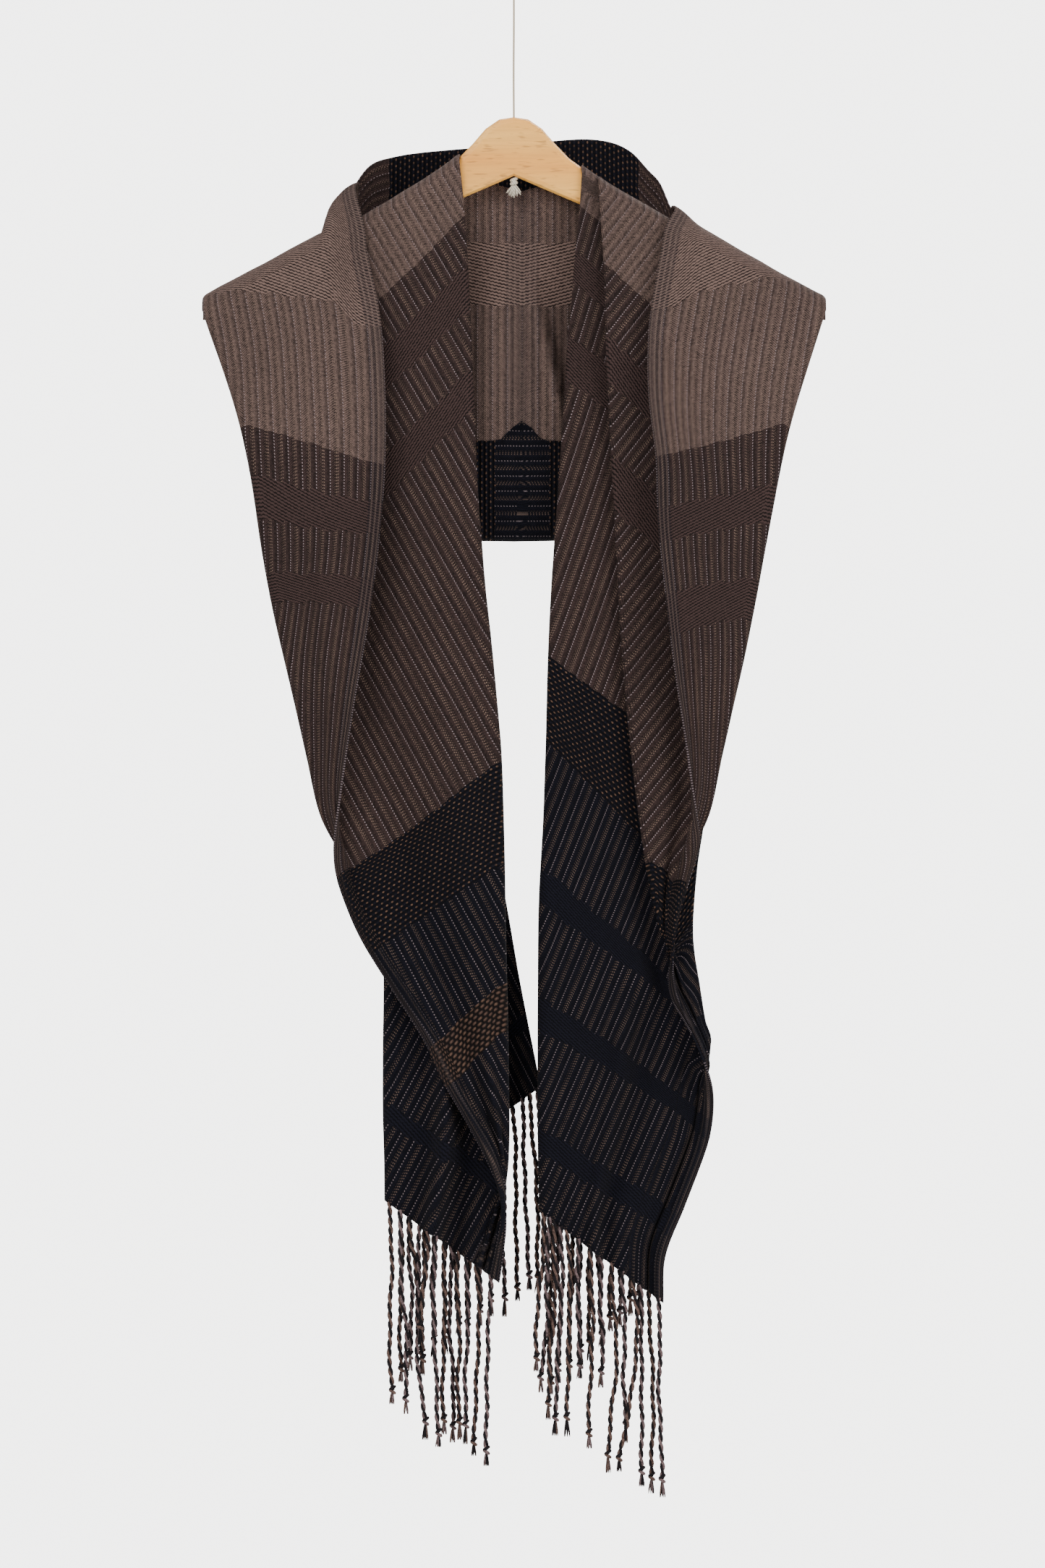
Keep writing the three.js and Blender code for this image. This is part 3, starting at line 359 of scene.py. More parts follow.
RIGHT_EDGES = [
    [  # front selvedge
        (-169, 103, 84, -19), (-118, 95, 130, -23), (-91, 92.5, 154, -27), (-51, 92.5, 190.5, -31),
        (0, 97.5, 236, -35), (48, 99, 279, -37), (104, 104, 329, -38), (160, 110, 379, -37),
        (210, 117, 424, -34), (250, 122.5, 459, -30), (278, 126.5, 484, -26), (296, 128.5, 499, -22),
        (312, 126, 512, -19), (330, 119.5, 533, -16), (352, 114, 552, -15), (378, 109.5, 575, -12),
        (400, 106.5, 594, -6), (418, 108.5, 608, -3), (440, 117, 622, -5), (465, 126, 638.5, -9),
        (490, 134, 659, -7), (515, 138, 676, 5), (545, 137.5, 696, 12), (575, 133.5, 714, 15),
        (628, 118.5, 754, 14), (670, 105, 789, 12), (700, 103.5, 820.5, 9),
    ],
    [  # outer fold of the flap
        (-80, 215, 133.5, -12, 3), (0, 189.5, 215, -13, 5), (82, 172.5, 299, -14, 6),
        (165, 158, 375, -14, 6), (230, 144, 439, -14, 5), (270, 136, 478, -13.5, 3),
        (294, 126, 500, -13, 0.5), (312, 118, 508, -12.5, 0), (330, 111, 527.5, -12, 0),
        (352, 106.5, 545, -11, 0), (378, 105.5, 570, -9.5, 0), (400, 108, 587, -1, 0),
        (418, 112, 601, 0, 0), (440, 119.5, 616, -1, 0), (465, 127.5, 633, -3, 0), (490, 135, 653, -1, 0),
        (515, 132, 669, 8, 0), (545, 130, 689, 13, 0), (575, 126, 707, 15, 0), (628, 110.6, 748, 14, 0),
        (670, 97, 783, 12, 0), (700, 95.5, 814.5, 11, 0),
    ],
    [  # front fold
        (-46, 58.7, 47, -15, 2), (0, 62, 101.5, -12.5, 2.5), (60, 65, 176.5, -10, 3),
        (110, 68, 239, -8.5, 3.5), (165, 71.5, 308, -7.5, 4), (250, 79, 414, -7, 4.5),
        (330, 91, 514, -7, 4), (360, 97, 545, -7, 3), (378, 103, 566, -4, 0.5), (400, 112, 580, 3, 0),
        (418, 116, 594, 3, 0), (440, 122, 610, 3, 0), (465, 129, 627, 3, 0), (490, 135.5, 647, 5, 0),
        (515, 126, 662, 12, 0), (545, 122, 682, 14, 0), (575, 118.6, 700, 15, 0), (628, 102.7, 742, 13, 0),
        (670, 89.5, 776.5, 10, 0), (700, 87.5, 808.5, 9, 0),
    ],
    [  # outer fold of the pleat
        (-46, 65.5, 52, -11.5, 1.8), (0, 78.5, 86.5, -8, 3), (60, 93.5, 146.5, -4, 3),
        (110, 105, 204, -1, 3), (165, 116, 264, 0, 3), (250, 130, 364, 1, 4), (330, 132, 474, 2, 4),
        (365, 126, 520, 3, 4), (400, 123.5, 564, 4, 4), (440, 128.5, 602, 7, 3.5), (465, 132, 624, 9, 2.5),
        (490, 136, 641, 11, 1), (515, 120, 655, 15, 0), (545, 114.5, 675, 13, 0), (575, 111, 693, 14, 0),
        (628, 95, 735.5, 9, 0), (670, 81.6, 770, 4, 0), (700, 79.5, 802.5, 3, 0),
    ],
    [  # inner fold
        (-46, 51, 42, -9.4, 0), (0, 49, 64.5, -9, 0), (60, 45, 113, -3, 0), (95, 43, 144, 1, 0),
        (110, 38.5, 154, 3, 0.5), (140, 36.5, 184, 4, 2.5), (165, 34.5, 213, 4, 3),
        (250, 28.5, 294.5, 5, 4), (330, 24.5, 371.5, 5, 6), (400, 22.5, 439, 4, 8),
        (490, 18.5, 532.5, 3, 9), (577, 17.5, 622.5, 2, 9), (670, 17.5, 719, 2, 9), (700, 18.5, 757, 3, 8),
    ],
    [  # back selvedge
        (-46, 47, 39, -9.4), (0, 45.5, 61.5, -9), (60, 41, 110, -3), (95, 39, 141, 1), (110, 37.5, 148, 5),
        (140, 47, 175, 8), (165, 49, 202, 8), (250, 67, 266, 10), (330, 86, 330, 18), (400, 93, 395, 26),
        (490, 96, 480, 31), (577, 96, 565, 34), (670, 94, 655, 36), (700, 93, 684, 36),
    ],
]

# %% Soft folds and the shoulder line
# layer, share across it, width, depth in mm, and the shares of the drop between which the fold comes in
LEFT_SOFT = [
    (0, 0.55, 0.22, -4, 0.05, 0.3), (1, 0.3, 0.2, 7, 0.1, 0.4), (1, 0.78, 0.16, -5, 0.1, 0.35),
    (2, 0.28, 0.14, 11, 0.76, 0.95), (2, 0.52, 0.1, -17, 0.72, 0.92), (3, 0.3, 0.12, 12, 0.55, 0.8),
    (3, 0.8, 0.1, 9, 0.55, 0.8),
]
RIGHT_SOFT = [
    (0, 0.55, 0.22, -4, 0.05, 0.3), (1, 0.35, 0.2, 6, 0.1, 0.4), (3, 0.3, 0.12, 7, 0.5, 0.75),
    (3, 0.42, 0.09, -10, 0.62, 0.85), (3, 0.7, 0.2, -4, 0.3, 0.6), (4, 0.3, 0.12, 10, 0.55, 0.8),
    (4, 0.55, 0.1, -4, 0.55, 0.8), (4, 0.8, 0.1, 11, 0.55, 0.8),
]
# the upper edge of the hanger's arms, and how high the tops of the flaps stand above it: place across, drop
RIDGE = [(0, 8), (38, 26), (50, 35), (66, 46), (92, 61), (133, 84), (184, 111), (216, 128)]
LEFT_BULGE = [(96, 46.5), (101.5, 45.5), (108, 47.5), (116, 52.5), (124, 59), (129, 68), (131, 78)]
RIGHT_BULGE = [(96, 67), (103, 68.5), (106, 70), (112, 73), (120, 77), (128, 81.5), (131, 83)]

# %% [markdown]
# ## From edges to a sheet
# A smooth curve through each table gives its edge at any height. A section of the end is straight between
# two edges and turns half round at each fold. Sections from the shoulder to the hem make a grid of points,
# and each point remembers where it lies on the flat strip, so that the stripes run as they were woven.

# %% Curves through tables
def curve(table, column, at):
    """Values of a column at many places along the first, by a smooth curve through the rows."""
    rows = np.array([row[: column + 1] for row in table], float)
    keys, values = rows[:, 0], rows[:, column]
    slopes = np.empty(len(keys))
    slopes[1:-1] = (values[2:] - values[:-2]) / (keys[2:] - keys[:-2])
    slopes[0] = (values[1] - values[0]) / (keys[1] - keys[0])
    slopes[-1] = (values[-1] - values[-2]) / (keys[-1] - keys[-2])
    at = np.clip(np.asarray(at, float), keys[0], keys[-1])
    i = np.clip(np.searchsorted(keys, at) - 1, 0, len(keys) - 2)
    span = keys[i + 1] - keys[i]
    s = (at - keys[i]) / span
    return (
        (2 * s**3 - 3 * s**2 + 1) * values[i]
        + (s**3 - 2 * s**2 + s) * slopes[i] * span
        + (3 * s**2 - 2 * s**3) * values[i + 1]
        + (s**3 - s**2) * slopes[i + 1] * span
    )


def smooth(low, high, x):
    s = np.clip((np.asarray(x, float) - low) / (high - low), 0, 1)
    return s * s * (3 - 2 * s)


def ridge(x):
    return curve(RIDGE, 1, np.abs(x))


# %% One end as a grid of points
TURN = 5  # points round a quarter of a fold
FLAP_TOP = (103, 130)  # mm across: between these the flap leaves the hanger's slope


def edge_lines(edges, rows):
    """Each edge as five arrays: length along the strip, place across, drop, depth, turning radius."""
    t = np.linspace(0, 1, rows)
    lines = []
    for table in edges:
        along = table[0][0] + (table[-1][0] - table[0][0]) * t
        has_turn = len(table[0]) > 4
        radius = np.maximum(curve(table, 4, along), 0.7) if has_turn else np.zeros(rows)
        x, drop, depth = (curve(table, column, along) for column in (1, 2, 3))
        lines.append((along, x, drop, depth, radius))
    return lines


def soft_depth(soft, layer, s, t):
    """What the soft folds add to the depth of a layer, in mm, at a share s across it and t down it."""
    total = 0
    for which, at, width, depth, begin, end in soft:
        if which == layer:
            hump = math.exp(-(((s - at) / width) ** 2)) * math.sin(math.pi * s) ** 0.5
            total = total + depth * hump * smooth(begin, end, t)
    return total


def end_grid(edges, soft, widths, rows=236):
    """Rows of (x, drop, depth, length along the strip) from the shoulder to the hem.

    widths is the number of points across each layer.
    """
    t = np.linspace(0, 1, rows)
    lines = edge_lines(edges, rows)
    ways = []
    for (_, xa, da, _, _), (_, xb, db, _, _) in zip(lines, lines[1:]):
        run = np.hypot(xb - xa, db - da)
        ways.append(((xb - xa) / run, (db - da) / run))
    # 1 where the cloth doubles back at an edge, 0 where it runs straight on
    doubling = [(1 - p[0] * q[0] - p[1] * q[1]) / 2 for p, q in zip(ways, ways[1:])]
    doubling = [np.zeros(rows), *doubling, np.zeros(rows)]
    columns = []
    for layer, (ux, ud) in enumerate(ways):
        (va, xa, da, ya, ra), (vb, xb, db, yb, rb) = lines[layer], lines[layer + 1]
        bulge_a, bulge_b = ra * doubling[layer], rb * doubling[layer + 1]
        if layer > 0:
            for k in range(TURN):
                a = math.pi / 2 * k / TURN
                out = ra * (1 - math.cos(a))
                columns.append((xa + ux * out, da + ud * out, ya + bulge_a * math.sin(a), va))
        starts = (xa + ux * ra, da + ud * ra, ya + bulge_a)
        stops = (xb - ux * rb, db - ud * rb, yb - bulge_b)
        below_a, below_b = starts[1] - ridge(starts[0]), stops[1] - ridge(stops[0])
        for s in np.linspace(0, 1, widths[layer]):
            x, drop, y = (begin + (end - begin) * s for begin, end in zip(starts, stops))
            # the top of the sheet follows the slope of the arm
            share = smooth(*FLAP_TOP, np.abs(x)) if layer == 0 else s
            on_ridge = ridge(x) + below_a + (below_b - below_a) * share
            drop = on_ridge + (drop - on_ridge) * smooth(0, 0.2, t)
            columns.append((x, drop, y + soft_depth(soft, layer, s, t), va + (vb - va) * s))
        if layer < len(edges) - 2:
            for k in range(TURN - 1, 0, -1):
                a = math.pi / 2 * k / TURN
                out = rb * (1 - math.cos(a))
                columns.append((xb - ux * out, db - ud * out, yb - bulge_b * math.sin(a), vb))
    return np.array(columns).transpose(2, 0, 1)  # row, column, value


# %% [markdown]
# ## Over the arm, and back to the flat strip
# At the top the cloth lies over the hanger's arm, and beside its front edge the flap stands up higher than
# the arm. Every point also needs its place on the flat strip, or the stripes would bend with each fold.
# Real threads stay straight between folds, so each layer gets straight stripes at its own slant, joined
# within the fold.

# %% Over the arm
ARM_STEPS, ARM_LIP = 14, 6  # points over the arm, and how far the cloth reaches down behind it, in mm
ARM_ROWS = ARM_STEPS + 2
ARM_DEPTH = 16.5  # no cloth lies further behind the middle of the arm than this
FLAP_BOW = 8  # how far the flap's edge bows outwards above the arm


def over_the_arm(grid, flap_columns, bulge):
    """Carries the top of every column over the arm of the hanger and a little way down behind it.

    Beside its selvedge the flap rises above the arm, as bulge says, and its edge bows outwards.
    """
    x, drop, y, along = grid[0].T
    is_flap = np.arange(len(x)) < flap_columns
    top = ridge(x) + 0.5 - np.where(is_flap, (np.abs(y) - 9) * 0.6, 0)
    bulge_end = bulge[-1][0]
    top = np.where(is_flap & (np.abs(x) < bulge_end), np.minimum(top, curve(bulge, 1, np.abs(x))), top)
    near_edge = np.where(is_flap, smooth(bulge_end, FLAP_TOP[0], np.abs(x)), 0)
    lines = []
    for k in range(ARM_ROWS, 0, -1):
        angle = math.pi * min(1, k / ARM_STEPS)
        depth = -np.minimum(-y, ARM_DEPTH) if angle > math.pi / 2 else y
        down = ARM_LIP * max(0, k - ARM_STEPS) / 2
        reach = np.hypot(drop - top, y) * angle + down
        bow = near_edge * (FLAP_BOW * math.sin(min(angle, math.pi / 2) * 1.35) ** 2) * np.sign(x)
        lifted = drop - (drop - top) * math.sin(angle) + down
        lines.append(np.stack((x + bow, lifted, depth * math.cos(angle), along - reach), 1))
    return np.concatenate([np.array(lines), grid])


# %% Places on the flat strip
def flat_places(grid, widths, slants):
    """How far across the flat strip each point lies, from the front selvedge.

    On the flap this is the distance from the selvedge, measured over the cloth. The stripes of every
    further layer are straight lines at a slant, in degrees from upright at the shoulder and at the hem,
    positive down to the right.
    """
    steps = np.linalg.norm(np.diff(grid[:, :, :3], axis=1), axis=2)
    measured = np.concatenate([np.zeros((len(grid), 1)), np.cumsum(steps, axis=1)], axis=1)
    across = measured.copy()
    start, middle = widths[0] + TURN - 1, len(grid) // 2
    for layer, (top_slant, hem_slant) in enumerate(slants, 1):
        stop = start + TURN + widths[layer] + (TURN - 1 if layer < len(slants) else 0)
        x, drop = grid[:, start:stop, 0], grid[:, start:stop, 1]
        low, high = drop.min(), drop.max()
        top, hem = math.tan(math.radians(top_slant)), math.tan(math.radians(hem_slant))
        fallen = drop - low
        lean = top * fallen + (hem - top) * fallen**2 / 2 / (high - low)
        way = 1 if x[middle, -1] > x[middle, 0] else -1
        straight = way * (x - lean) * math.cos(math.radians((top_slant + hem_slant) / 2))
        straight += across[middle, start - 1] - straight[middle, 0]
        # the fold itself joins the two directions
        gap = (across[:, start - 1] - straight[:, 0])[:, None]
        share = 1 - smooth(0, TURN, np.arange(stop - start))[None, :]
        # where a layer is only a narrow roll, its threads follow the edge
        over = measured[:, start:stop] - measured[:, start - 1 : start] + across[:, start - 1 : start]
        narrow = smooth(30, 16, measured[:, stop - 1] - measured[:, start])[:, None]
        across[:, start:stop] = (straight + gap * share) * (1 - narrow) + over * narrow
        start = stop
    across[:ARM_ROWS] = across[ARM_ROWS]
    return across


def weft_places(grid, widths, layer, lift):
    """How far along the strip each point lies.

    Across one wide layer the weft runs less steeply than the edges say.
    """
    along = grid[..., 3].copy()
    start = sum(widths[:layer]) + (2 * TURN - 1) * layer - TURN
    stop = start + widths[layer] + 2 * TURN - 1
    x = grid[:, start:stop, 0]
    shift = lift * (x - x[:, -1:]) * smooth(150, 330, along[:, start:stop])
    along[:, :start] += shift[:, :1] * smooth(400, 470, along[:, :start])
    along[:, start:stop] += shift
    return along


def world_points(grid):
    """Metres in the shared frame."""
    return np.stack([grid[..., 0], grid[..., 2], HANGER_TOP_Z - grid[..., 1]], -1) * MM


# %% [markdown]
# ## Cloth with a thickness
# Woven wool this heavy is about a millimetre and a half thick. The sheet gets a second skin behind it and
# closed edges, and small uneven swells, because yarn tension is never even and the cloth keeps some memory
# of being worn.

# %% Shells from grids
def surface_normals(points):
    across = np.gradient(points, axis=1)
    down = np.gradient(points, axis=0)
    normals = np.cross(across, down)
    return normals / np.maximum(np.linalg.norm(normals, axis=2, keepdims=True), 1e-9)


def swells(points, depth, seed, size=0.045):
    """Smooth random numbers up to depth, in metres, stretched along the hang of the cloth."""
    out = np.empty(points.shape[:2])
    for r, row in enumerate(points):
        for c, p in enumerate(row):
            place = Vector((p[0] / size + seed, p[1] / size, p[2] / (size * 3)))
            out[r, c] = noise.noise(place) + 0.5 * noise.noise(place * 2.3)
    return out * depth


def object_from(name, points, faces, places, material):
    """A smooth mesh object with a UV layer "strip" in metres on the flat cloth."""
    mesh = bpy.data.meshes.new(name)
    mesh.from_pydata(points.tolist(), [], faces.tolist())
    layer = mesh.uv_layers.new(name="strip")
    loops = np.empty(len(mesh.loops), int)
    mesh.loops.foreach_get("vertex_index", loops)
    layer.data.foreach_set("uv", places[loops].astype(np.float32).ravel())
    mesh.polygons.foreach_set("use_smooth", np.ones(len(mesh.polygons), bool))
    mesh.materials.append(material)
    mesh.update()
    piece = put(name, mesh)
    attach(piece, "root")
    return piece


def shell(name, points, across, along, thickness, material):
    """A closed shell round a grid, with the strip's own lengths as its UV layer."""
    rows, columns = points.shape[:2]
    normals = surface_normals(points)
    skins = [points + normals * thickness / 2, points - normals * thickness / 2]
    vertices = np.concatenate([skin.reshape(-1, 3) for skin in skins])
    r, c = np.meshgrid(np.arange(rows - 1), np.arange(columns - 1), indexing="ij")
    a = (r * columns + c).ravel()
    front = np.stack([a, a + 1, a + columns + 1, a + columns], 1)
    back = front[:, ::-1] + rows * columns
    faces = [front, back]
    n = rows * columns
    for strip, flip in (
        (np.arange(columns), True),
        ((rows - 1) * columns + np.arange(columns), False),
        (np.arange(rows) * columns, False),
        (np.arange(rows) * columns + columns - 1, True),
    ):
        rim = np.stack([strip[:-1], strip[1:], strip[1:] + n, strip[:-1] + n], 1)
        faces.append(rim[:, ::-1] if not flip else rim)
    flat = np.stack([across.ravel(), along.ravel()], 1) * MM
    piece = object_from(name, vertices, np.concatenate(faces), np.concatenate([flat, flat]), material)
    work = bmesh.new()
    work.from_mesh(piece.data)
    bmesh.ops.recalc_face_normals(work, faces=work.faces)
    work.to_mesh(piece.data)
    work.free()
    return piece


# %% [markdown]
# ## The weave
# The warp repeats every 10 mm: one pinkish thread that shows as a dotted line, then a pair of tan ones, on
# charcoal. The weft changes along the strip, taupe at the hood and shoulders, then brown, then black, and
# here and there the weave itself changes: plain bands that hide the warp, a bobbled check, and one band of
# thick brown floats. Weavers plan this as a threading and a list of picks. Here both are formulas in
# millimetres on the flat strip.

# %% Yarn colours
YARN = {
    "charcoal": linear(24, 19, 19),
    "taupe": linear(112, 92, 85),
    "soot": linear(15, 11, 11),
    "brown": linear(64, 49, 47),
    "black": linear(2, 2, 6),
    "slate": linear(16, 16, 26),
    "float_brown": linear(100, 76, 62),
    "pink": linear(196, 176, 180),
    "tan": linear(144, 120, 106),
    "navy": linear(17, 17, 25),
    "cream": linear(124, 106, 98),
}
WOOL_SHEEN = linear(200, 185, 175)
REPEAT = 10.4  # mm from one pinkish warp thread to the next
RIB = 1.5  # mm from one rib of the twill to the next
DOT = 2.05  # mm between the dots of a warp thread
WARP = 0.74  # mm between the finest warp threads
YARN_DIAMETER = 1.15  # mm between the coloured threads of a pair
BOBBLE = (4.4, 3.1)  # mm across and along from one bobble of the check to the next
FLOAT = (4.6, 3.0)  # the same for the thick brown floats


# %% Masks
def strip_places():
    """Millimetres across and along the flat strip, from the UV layer that every sheet carries."""
    uv = Field.tree.nodes.new("ShaderNodeUVMap")
    uv.uv_map = "strip"
    split = Field.tree.nodes.new("ShaderNodeSeparateXYZ")
    Field.tree.links.new(uv.outputs[0], split.inputs[0])
    return Field(split.outputs[0]) * 1000, Field(split.outputs[1]) * 1000


def bands_mask(v, bands):
    """1 inside any of the stretches (from, to) along the strip. None if there are none."""
    mask = None
    for low, high in bands:
        inside = v.between(low, high)
        mask = inside if mask is None else mask + inside
    return mask


def line_at(phase, centre, half_width):
    """1 on a warp thread at a share of the repeat, softly ending at its sides."""
    distance = Field.make("ABSOLUTE", Field.make("WRAP", phase - centre, 0.5, -0.5))
    return (1.5 - distance / half_width).clip()


# %% [markdown]
# ## Ground and coloured threads
# The ground is a twill: each row of ribs steps sideways, and the steps change direction at every pinkish
# thread, which makes chevrons. The coloured threads float over it in short stitches, so they show as rows
# of dots and not as lines.

# %% Ground and coloured threads
def twill(u, v, uneven):
    """The share of weft that shows."""
    mirrored = Field.make("ABSOLUTE", Field.make("WRAP", u, REPEAT / 2, -REPEAT / 2))
    rib = ((v + mirrored) / RIB).wave()
    threads = (u / WARP).wave()
    column = (u / (REPEAT / 2) + 0.25).wave()  # the warp shows darker half-way between the coloured threads
    return (rib * 0.5 + threads * 0.2 + uneven * 0.9 + column * 0.28 - 0.52).clip()


def coloured_threads(u, v, group):
    """How much the pinkish and the tan threads show."""
    phase = (u / REPEAT).fract()
    pink = line_at(phase, 0.0, 0.03)
    pair = line_at(phase, 0.43, 0.03) + line_at(phase, 0.54, 0.03)
    tan = (pair + line_at(phase, 0.65, 0.026) * 0.4).clip()
    thread = (u / YARN_DIAMETER).floor()
    pink_dots = ((v / DOT + random_by(group, group) * 0.5).wave() - 0.5) * 3
    tan_dots = ((v / DOT + random_by(thread, thread)).wave() - 0.5) * 3
    fading = (noise_field(60, 2.0) * 3 - 0.9).clip()  # a thread dives under here and there
    return pink * pink_dots.clip() * (fading * 0.35 + 0.65), tan * tan_dots.clip() * (fading * 0.6 + 0.4)


# %% [markdown]
# ## The patterned bands
# Four patterns lie over the ground: flat ribs, a check of small bobbles, thick brown floats with dark gaps,
# and the closer threads of the selvedge. Each is a product of two waves, one across and one along, shifted
# by half from row to row. Each function gives a colour and a height, so that the same numbers shade the
# cloth and raise it.

# %% Patterned bands
def plain_ribs(u, v, uneven, under, over):
    """Low ribs nearly straight across, with the warp hidden."""
    cross = ((v + u * 0.26 + (u / 2.6).wave() * 0.4) / 2.3).wave() + uneven * 1.1
    return blend(under, over, (cross * 1.5 - 0.85).clip()), cross * 0.4


def bobbles(u, v, uneven, warp):
    """Bobbles in staggered rows, one brown and one black."""
    row = (v / BOBBLE[1]).floor()
    place, rise = u / BOBBLE[0] + row * 0.5, (v / BOBBLE[1] + 0.5).wave()
    knob, odd_knob = (place.wave() * rise).clip(), ((place + 0.5).wave() * rise).clip()
    dot = ((knob - 0.55) * 4).clip() * (random_by(place.floor(), row) * 0.7 + 0.3)
    base = blend(YARN["black"], YARN["slate"], (odd_knob * 0.9 + uneven * 0.3).clip())
    return blend(base, YARN["float_brown"], dot * warp), (knob + odd_knob * 1.2) * 1.1


def brown_floats(u, v, uneven):
    """Thick brown stitches, staggered, with dark gaps."""
    row = (v / FLOAT[1]).floor()
    place = u / FLOAT[0] + row * 0.5 + random_by(row, row) * 0.16
    blob = (place.wave() * (v / FLOAT[1] + 0.5).wave()).sharp(0.55)
    tint = random_by((place + 0.5).floor(), row) * 0.5 + uneven * 0.5
    yarn = blend(YARN["brown"], YARN["float_brown"], tint)
    return blend(YARN["soot"], yarn, (blob * 1.8 - 0.5).clip()), blob * 1.9


def selvedge_threads(u, v, is_black):
    """Denser threads along the edge of the strip."""
    thread = line_at((u / 3.7).fract(), 0.45, 0.2)
    light_thread = (thread * ((v / DOT + (u / 0.9).floor() * 0.5).wave() * 0.8 + 0.2)).clip()
    shown = light_thread * (is_black * 0.45).inverse() * 0.75
    return blend(YARN["navy"], YARN["cream"], shown), thread * 0.35


# %% [markdown]
# ## The whole cloth
# One function now lays the patterns over each other, in the order of the loom: ground, coloured threads,
# bands, selvedge. A weft colour doesn't change along a ruled line, so each group of warp threads shifts the
# change a little.

# %% The whole cloth
SELVEDGE = 11.5  # mm


def weave(name, brown_from, black_from, plain=(), check=(), basket=(), selvedge=0.42, warp=1.0):
    """The strip's cloth. Places are in mm along it. warp is how strongly the coloured threads show."""
    material, shader = start_material(name, 0.95, sheen=0.02, sheen_tint=WOOL_SHEEN)
    u, v = strip_places()
    group = (u / (REPEAT / 2)).floor()
    uneven = noise_field(700, 3.0) * 0.72 + random_by((v / 1.05).floor(), (u / 1.3).floor()) * 0.28
    shifted = random_by(group, group) - 0.5
    stepped = v + shifted * 1.3
    is_brown, is_black = stepped.above(brown_from), stepped.above(black_from)
    is_plain = bands_mask(stepped + shifted * 2, plain)
    is_check, is_basket = bands_mask(stepped, check), bands_mask(stepped, basket)

    under = blend(blend(YARN["charcoal"], YARN["soot"], is_brown), YARN["black"], is_black)
    over = blend(blend(YARN["taupe"], YARN["brown"], is_brown), YARN["slate"], is_black)
    weft_share = twill(u, v, uneven)
    colour, relief = blend(under, over, weft_share), weft_share * 0.34

    shown = (is_brown.inverse() * 0.45 + is_black * 0.42).inverse() * warp
    for mask, share in ((is_check, 1), (is_plain, 0.93), (is_basket, 0.8)):
        if mask:
            shown = shown * (mask * share).inverse()
    pink, tan = (threads * shown for threads in coloured_threads(u, v, group))
    colour = blend(blend(colour, YARN["tan"], tan * 0.78), YARN["pink"], pink * 0.6)
    relief = relief + (pink + tan) * 0.25

    bands = []
    if is_plain:
        bands.append((is_plain, is_plain, *plain_ribs(u, v, uneven, under, over)))
    if is_check:
        bands.append((is_check, is_check, *bobbles(u, v, uneven, warp)))
    if is_basket:
        bands.append((is_basket, is_basket * pink.inverse(), *brown_floats(u, v, uneven)))
    for mask, cover, other, height in bands:
        colour = blend(colour, other, cover)
        relief = relief * mask.inverse() + height * mask
    if selvedge:
        edge = u.below(SELVEDGE)
        cord, height = selvedge_threads(u, v, is_black)
        colour, relief = blend(colour, cord, edge * selvedge), relief + height * edge

    # patches where dye and wear differ a little
    shade = Field.tree.nodes.new("ShaderNodeHueSaturation")
    Field.tree.links.new((noise_field(11, 3.0) * 0.36 + 0.82).socket, shade.inputs["Value"])
    Field.tree.links.new(colour, shade.inputs["Color"])
    Field.tree.links.new(shade.outputs[0], shader.inputs["Base Color"])
    add_relief(shader, relief, 0.0011)
    print(name, "nodes", len(Field.tree.nodes))
    return material


# %% The two ends' weaves
left_cloth = weave(
    "left_weave", brown_from=0, black_from=332,
    plain=[(-400, -95), (30, 57), (93, 118), (584, 595)], check=[(332, 394)], basket=[(466, 495)],
)
right_cloth = weave(
    "right_weave", brown_from=0, black_from=331,
    plain=[(-400, -112), (40, 66), (106, 138), (477, 501), (563, 585), (651, 668)], check=[(331, 392)],
)

# %% [markdown]
# ## The two hanging ends
# Each end is a single sheet from the shoulder to the hem, thin and closed, with the flap, the pleats and
# the hem in one piece. The two aren't mirror images: nobody folds both sides alike.

# %% Make the ends
CLOTH = 1.5  # mm, the thickness of the wool


def make_end(name, edges, soft, widths, slants, bulge, material, seed, node, weft=(1, 0)):
    grid = over_the_arm(end_grid(edges, soft, widths), widths[0] + TURN, bulge)
    points = world_points(grid)
    along = grid[..., 3]
    hang = smooth(0, 60, along - along[0, 0])
    points = points + surface_normals(points) * (swells(points, 0.0011, seed) * hang)[..., None]
    across, picks = flat_places(grid, widths, slants), weft_places(grid, widths, *weft)
    piece = shell(name, points, across, picks, CLOTH * MM, material)
    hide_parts(node)
    print(name, "faces", len(piece.data.polygons))
    return piece, points


left_end, left_points = make_end(
    "left_hanging_end", LEFT_EDGES, LEFT_SOFT, [44, 52, 44, 40], [(31, 27), (-30, -28), (26, 26)],
    LEFT_BULGE, left_cloth, 3.1, "left_end",
)
right_end, right_points = make_end(
    "right_hanging_end", RIGHT_EDGES, RIGHT_SOFT, [44, 40, 20, 50, 34],
    [(-38, -38), (10, 26), (-16, -25), (14, 28)],
    RIGHT_BULGE, right_cloth, 8.4, "right_end", weft=(3, 0.18),
)

# %% [markdown]
# ## The hood
# The middle of the strip is doubled and its back selvedges are sewn together. It hangs as a soft bag behind
# the hanger, mouth up: the seam runs down the front, and the face opening's rim stands up along the back.
# Loops of points from the mouth to the bottom make it, and the two skins close over the rim.

